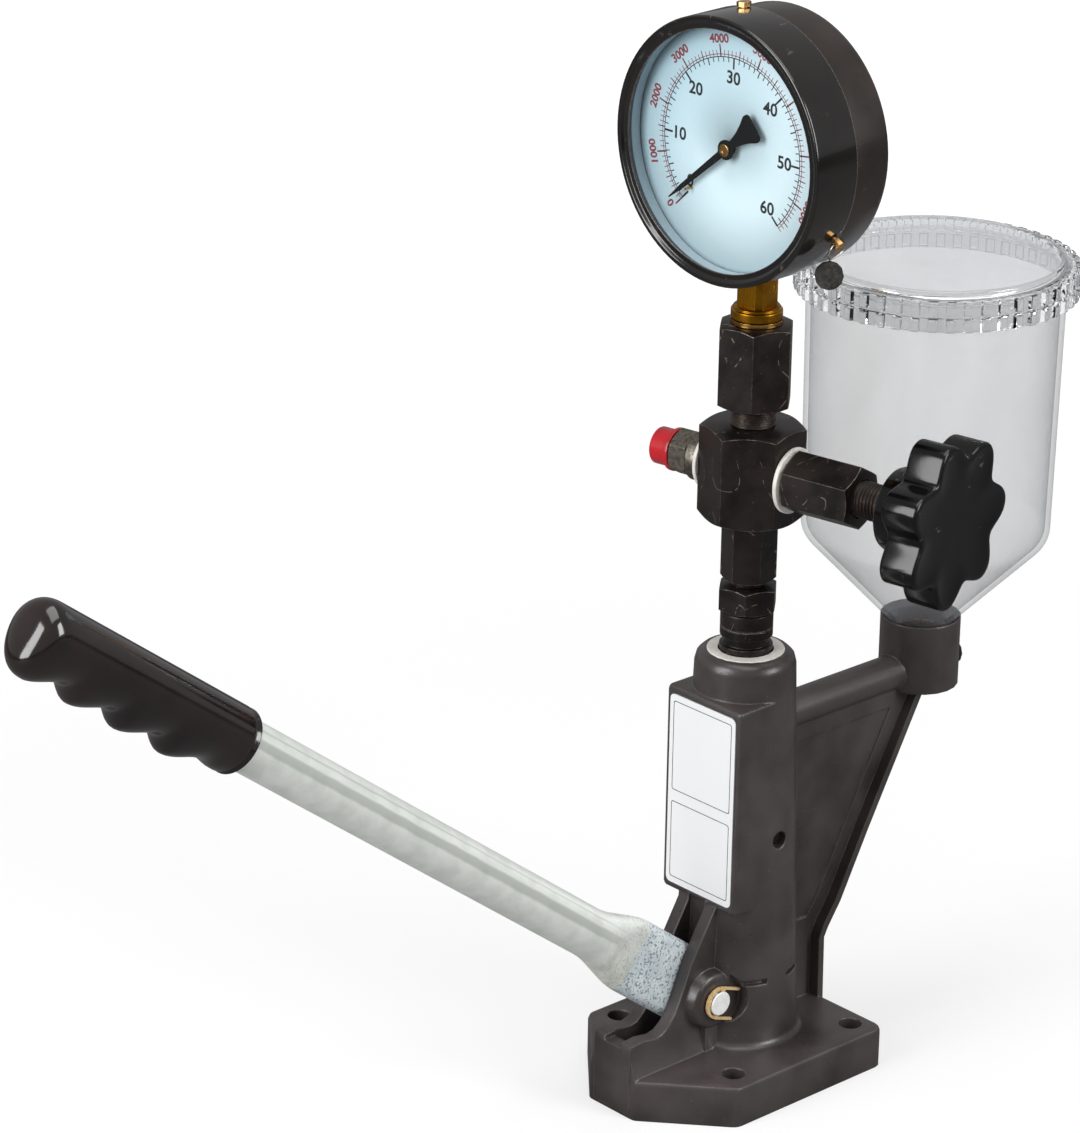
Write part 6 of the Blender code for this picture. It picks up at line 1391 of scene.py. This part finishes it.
@dataclass
class FuelCup(Assembly):
    """The clear cup with its ribbed lid."""

    centre: Point = (0.0, 0.0998, 0.0)
    cup_steps: int = 128
    lid_radius: float = 0.05656
    lid_bore: float = 0.0526
    lid_step: float = 0.0482
    rib_depth: float = 0.0017
    ribs: int = 50
    rib_round: float = 0.0005
    rib_profile: tuple[Point, ...] = (
        (0.00, 0.0), (0.03, 0.80), (0.07, 1.0), (0.28, 1.0), (0.49, 1.0), (0.53, 0.80), (0.56, 0.0), (0.78, 0.0),
    )
    skirt_low: float = 0.3065
    skirt_high: float = 0.3190
    groove: float = 0.3125
    groove_half: float = 0.0007
    groove_depth: float = 0.0024
    centre_hole: float = 0.0001
    disc_radius: float = 0.0500
    disc_round: float = 0.0013
    disc_foot: float = 0.0012
    disc_foot_height: float = 0.3194
    clear_rim: float = 0.0014
    under_step: float = 0.3172
    under: float = 0.3195
    top: float = 0.3213

    def ribbed(self, lift: float, height: float) -> list[Point]:
        """Ring of the lid's skirt, whose ribs stand out by lift times their depth."""
        row = []
        for rib in range(self.ribs):
            for share, out in self.rib_profile:
                radius = self.lid_radius - self.rib_depth * (1 - out * lift)
                row.append(polar(radius, math.tau * (rib + share) / self.ribs, height))
        return row

    def plain(self, radius: float, height: float) -> list[Point]:
        """Round ring whose points match the ribbed ones."""
        return spread(self.ribbed(0.0, height), radius, height)

    def tier(self, low: float, high: float) -> list[list[Point]]:
        """Rings of one tier of ribs with softened edges."""
        soft, start = self.rib_round, self.rib_round / 5
        stations = ((0.0, low), (0.75, low + start), (1.0, low + soft), (1.0, high - soft), (0.75, high - start),
                    (0.0, high))
        return [self.ribbed(lift, height) for lift, height in stations]

    def lid(self) -> None:
        """The lid: raised disc, two tiers of ribs with a groove between, and a hollow underside."""
        inside = ((self.centre_hole, self.under), (self.lid_step, self.under), (self.lid_step, self.under_step),
                  (self.lid_bore, self.under_step), (self.lid_bore, self.skirt_low))
        rows = [self.plain(radius, height) for radius, height in inside]
        rows += self.tier(self.skirt_low, self.groove - self.groove_half)
        rows += [self.plain(self.lid_radius - self.groove_depth, self.groove + side * self.groove_half)
                 for side in (-0.6, 0.6)]
        rows += self.tier(self.groove + self.groove_half, self.skirt_high)
        disc, soft = self.disc_radius, self.disc_round
        rows += [self.plain(disc + self.disc_foot, self.skirt_high), self.plain(disc, self.disc_foot_height)]
        rows += [self.plain(disc - soft * (1 - c), self.top - soft * (1 - s)) for s, c in quarter()]
        rows.append(self.plain(self.centre_hole, self.top))
        shell = Solid(self.place)
        shell.loft(rows)
        rim = disc - self.clear_rim
        for face in shell.mesh.faces:
            middle = face.calc_center_median() - self.place.translation
            if middle.xy.length < rim and middle.z > self.skirt_high:
                face.material_index = 1
        shell.piece("ribbed_lid", "cup_lid", Look.LID, Look.LID_TOP, body="cup_lid")

    def build(self) -> None:
        """Builds the cup, with its straight side, cone, neck and even wall, and its lid."""
        self.turned("cup", "fuel_cup", Look.CLEAR, [
            (0.0100, 0.1413, 0.0004), (0.0132, 0.1413, 0.0004), (0.0132, 0.1580), (0.0118, 0.1582),
            (0.0118, 0.1604), (0.0132, 0.1606), (0.0132, 0.1672, 0.0006), (0.0150, 0.1683, 0.0010),
            (0.0500, 0.2050, 0.0090), (0.0515, 0.3154, 0.0007), (0.0494, 0.3154, 0.0007), (0.0479, 0.2059, 0.0080),
            (0.0128, 0.1690, 0.0020), (0.0100, 0.1668, 0.0008),
        ], self.cup_steps)
        self.lid()
        dress(Look.GASKET, "lid_gasket")
        dress(Look.RUBBER, "cup_o_ring")
        dress(Look.BRASS, "cup_strainer")
        dress(Look.BLACK_STEEL, "cup_clamp_screw")


@dataclass
class Lever(Assembly):
    """The hand lever: pressed tube, tongue and moulded grip, along its own -Y."""

    centre: Point = (0.0, -0.025, 0.0395)
    turns: Turns = (("X", -37.2),)
    tube_radius: float = 0.0100
    wall: float = 0.0017
    flat_half_height: float = 0.0152
    flat_half_thickness: float = 0.0041
    flat_end: float = 0.0415
    flare_end: float = 0.0720
    tube_end: float = 0.3860
    grip_start: float = 0.2873
    grip_end: float = 0.3996
    grip_top: float = 0.0126
    grip_half_width: float = 0.0122
    grip_underside: float = 0.0169
    grip_mouth_underside: float = 0.0132
    groove_depth: float = 0.0047
    grooves: int = 4
    first_groove: float = 0.113
    last_groove: float = 0.772
    knuckle: float = 0.70
    nose: float = 0.0105
    nose_power: float = 0.70
    lift: float = 0.0010
    sides: int = 64
    near_stations: Point = (-0.0079, -0.0070, -0.0050, -0.0025, 0.0, 0.02)
    far_stations: Point = (0.15, 0.25)
    flare_steps: int = 14
    mouth_round: float = 0.002
    mouth_face: float = 0.0002
    mouth_hole: float = 0.84
    mouth_draw: float = 0.07
    nose_tip: float = 0.002
    grip_stations: int = 90
    nose_steps: int = 14

    def section(self, along: float, wall: float) -> list[Point]:
        """Ring of the tube, which goes from round to a flat with round edges.

        Args:
            along: Distance from the pivot.
            wall: How far the ring lies inside the outer skin.

        Returns:
            The ring's points.
        """
        share = min(max((along - self.flat_end) / (self.flare_end - self.flat_end), 0.0), 1.0)
        blend = share * share * (3 - 2 * share)
        height = self.flat_half_height + (self.tube_radius - self.flat_half_height) * blend - wall
        thick = self.flat_half_thickness + (self.tube_radius - self.flat_half_thickness) * blend - wall
        if along < 0:
            height = math.sqrt(self.flat_half_height ** 2 - along ** 2) - wall
        straight = max(height - thick, 0.0)
        row = []
        for i in range(self.sides):
            turn = math.tau * (i + 0.5) / self.sides
            rise = straight if math.sin(turn) > 0 else -straight
            row.append((thick * math.cos(turn), -along, thick * math.sin(turn) + rise))
        return row

    def tube(self) -> None:
        """The tube with its pressed end and flare."""
        flare = [self.flat_end + (self.flare_end - self.flat_end) * i / self.flare_steps
                 for i in range(self.flare_steps + 1)]
        stations = [*self.near_stations, *flare, *self.far_stations, self.tube_end]
        outer = [self.section(along, 0.0) for along in stations]
        inner = [self.section(along, self.wall) for along in reversed(stations)]
        self.lofted("lever_arm", "lever_tube", Look.LEVER, outer + inner, "lever", looped=True)

    def groove(self, along: float) -> float:
        """Depth of the finger grooves under the grip at a distance from the pivot."""
        share = (along - self.grip_start) / (self.grip_end - self.grip_start)
        pitch = (self.last_groove - self.first_groove) / (self.grooves - 1)
        turns = (share - self.first_groove) / pitch
        steep = 1 - self.knuckle
        shallow = self.grip_underside - self.grip_mouth_underside if turns < 0 else 0.0
        if not -steep < turns < self.grooves - steep:
            return shallow
        part = turns % 1
        swing = math.pi * part / self.knuckle if part < self.knuckle else math.pi * (1 - part) / steep
        return shallow + (self.groove_depth - shallow) * (1 + math.cos(swing)) / 2

    def grip_row(self, along: float, at: float, scale: float = 1.0) -> list[Point]:
        """Ring of the grip: along places it, at gives the groove that it takes, scale draws it in."""
        under = self.grip_underside - self.groove(at)
        row = []
        for i in range(self.sides):
            turn = math.tau * i / self.sides
            reach = self.grip_top if math.sin(turn) > 0 else under
            height = reach * scale * math.sin(turn) + self.lift * (1 - scale)
            row.append((self.grip_half_width * scale * math.cos(turn), -along, height))
        return row

    def grip(self) -> None:
        """The grip with four finger grooves and a rounded nose."""
        start = self.grip_start
        straight_start = start + self.mouth_round
        straight_end = self.grip_end - self.nose
        rows = [self.grip_row(start + self.mouth_face, start, self.mouth_hole)]
        rows += [self.grip_row(start + self.mouth_round * (1 - s), start, 1 - self.mouth_draw * (1 - s))
                 for s, _ in quarter()[-2::-1]]
        for i in range(1, self.grip_stations + 1):
            along = straight_start + (straight_end - start - self.mouth_round) * i / self.grip_stations
            rows.append(self.grip_row(along, along))
        for s, c in quarter(self.nose_steps)[1:]:
            scale = max(max(c, 0.0) ** self.nose_power, self.nose_tip)
            rows.append(self.grip_row(straight_end + self.nose * s ** self.nose_power, straight_end, scale))
        self.lofted("hand_grip", "grip", Look.GRIP, rows, "lever")

    def build(self) -> None:
        """Builds the lever."""
        self.tube()
        self.grip()
        smooth_copy("lever_tongue", Look.TONGUE, "lever")
        smooth_copy("pivot_pin", Look.PIN)
        smooth_copy("retaining_clip", Look.CLIP)


def rectangle(half_width: float, half_height: float, corner: float, middle: float = 0.0) -> list[Point]:
    """Outline of a rounded rectangle, middle above the centre."""
    signs = ((-1, -1), (1, -1), (1, 1), (-1, 1))
    return soften([(x * half_width, middle + y * half_height, corner) for x, y in signs], closed=True)


@dataclass
class Stand(Assembly):
    """The casting's paint, the bare label on it, and the pump inside it."""

    label_half_width: float = 0.0182
    label_half_height: float = 0.04045
    label_centre: float = 0.12075
    label_front: float = -0.0225
    label_thickness: float = 0.0006
    label_corner: float = 0.0027
    line_inset: float = 0.0020
    line_width: float = 0.0003
    line_rise: float = 0.00003
    line_corner: float = 0.0012
    line_frames: tuple[Point, ...] = ((0.0188, 0.0190), (-0.0214, 0.0164))
    plunger_stroke: float = 0.0125

    def label(self) -> None:
        """The pale plate with two thin empty frames on it."""
        plate = Solid(frame_at((0.0, self.label_front, self.label_centre), ("X", 90.0)))
        outline = rectangle(self.label_half_width, self.label_half_height, self.label_corner)
        plate.loft([level(outline, -self.label_thickness), level(outline, 0.0)])
        width = self.label_half_width - self.line_inset
        for middle, height in self.line_frames:
            outer = rectangle(width, height, self.line_corner, middle)
            inner = rectangle(width - self.line_width, height - self.line_width, self.line_corner - 0.0002, middle)
            rings = ((outer, 0.0), (outer, self.line_rise), (inner, self.line_rise), (inner, 0.0))
            plate.loft([level(edge, rise) for edge, rise in rings], looped=True, paint=1)
        plate.piece("blank_label", "label_plate", Look.LABEL, Look.BLACK_PRINT)

    def return_spring(self) -> None:
        """The spring over the plunger."""
        coil = smooth_copy("return_spring", Look.STEEL)
        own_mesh(coil)

    def build(self) -> None:
        """Paints the casting and finishes what it holds."""
        smooth_copy("stand_casting", Look.CASTING)
        self.label()
        self.return_spring()
        dress(Look.STEEL, "plunger", "tappet", "spring_seat", "pump_barrel", "delivery_ball")
        dress(Look.BLACK_STEEL, "barrel_lock_screw", "delivery_spring")


def main() -> None:
    """Builds the studio and every sub-assembly."""
    logging.basicConfig(level=logging.INFO, format="%(message)s")
    for part in (Studio(), Stand(), DeliveryStack(), Valve(), Outlet(), FuelCup(), Lever(), Gauge()):
        part.build()
        LOG.info("built the %s", type(part).__name__)


if __name__ == "__main__":
    main()
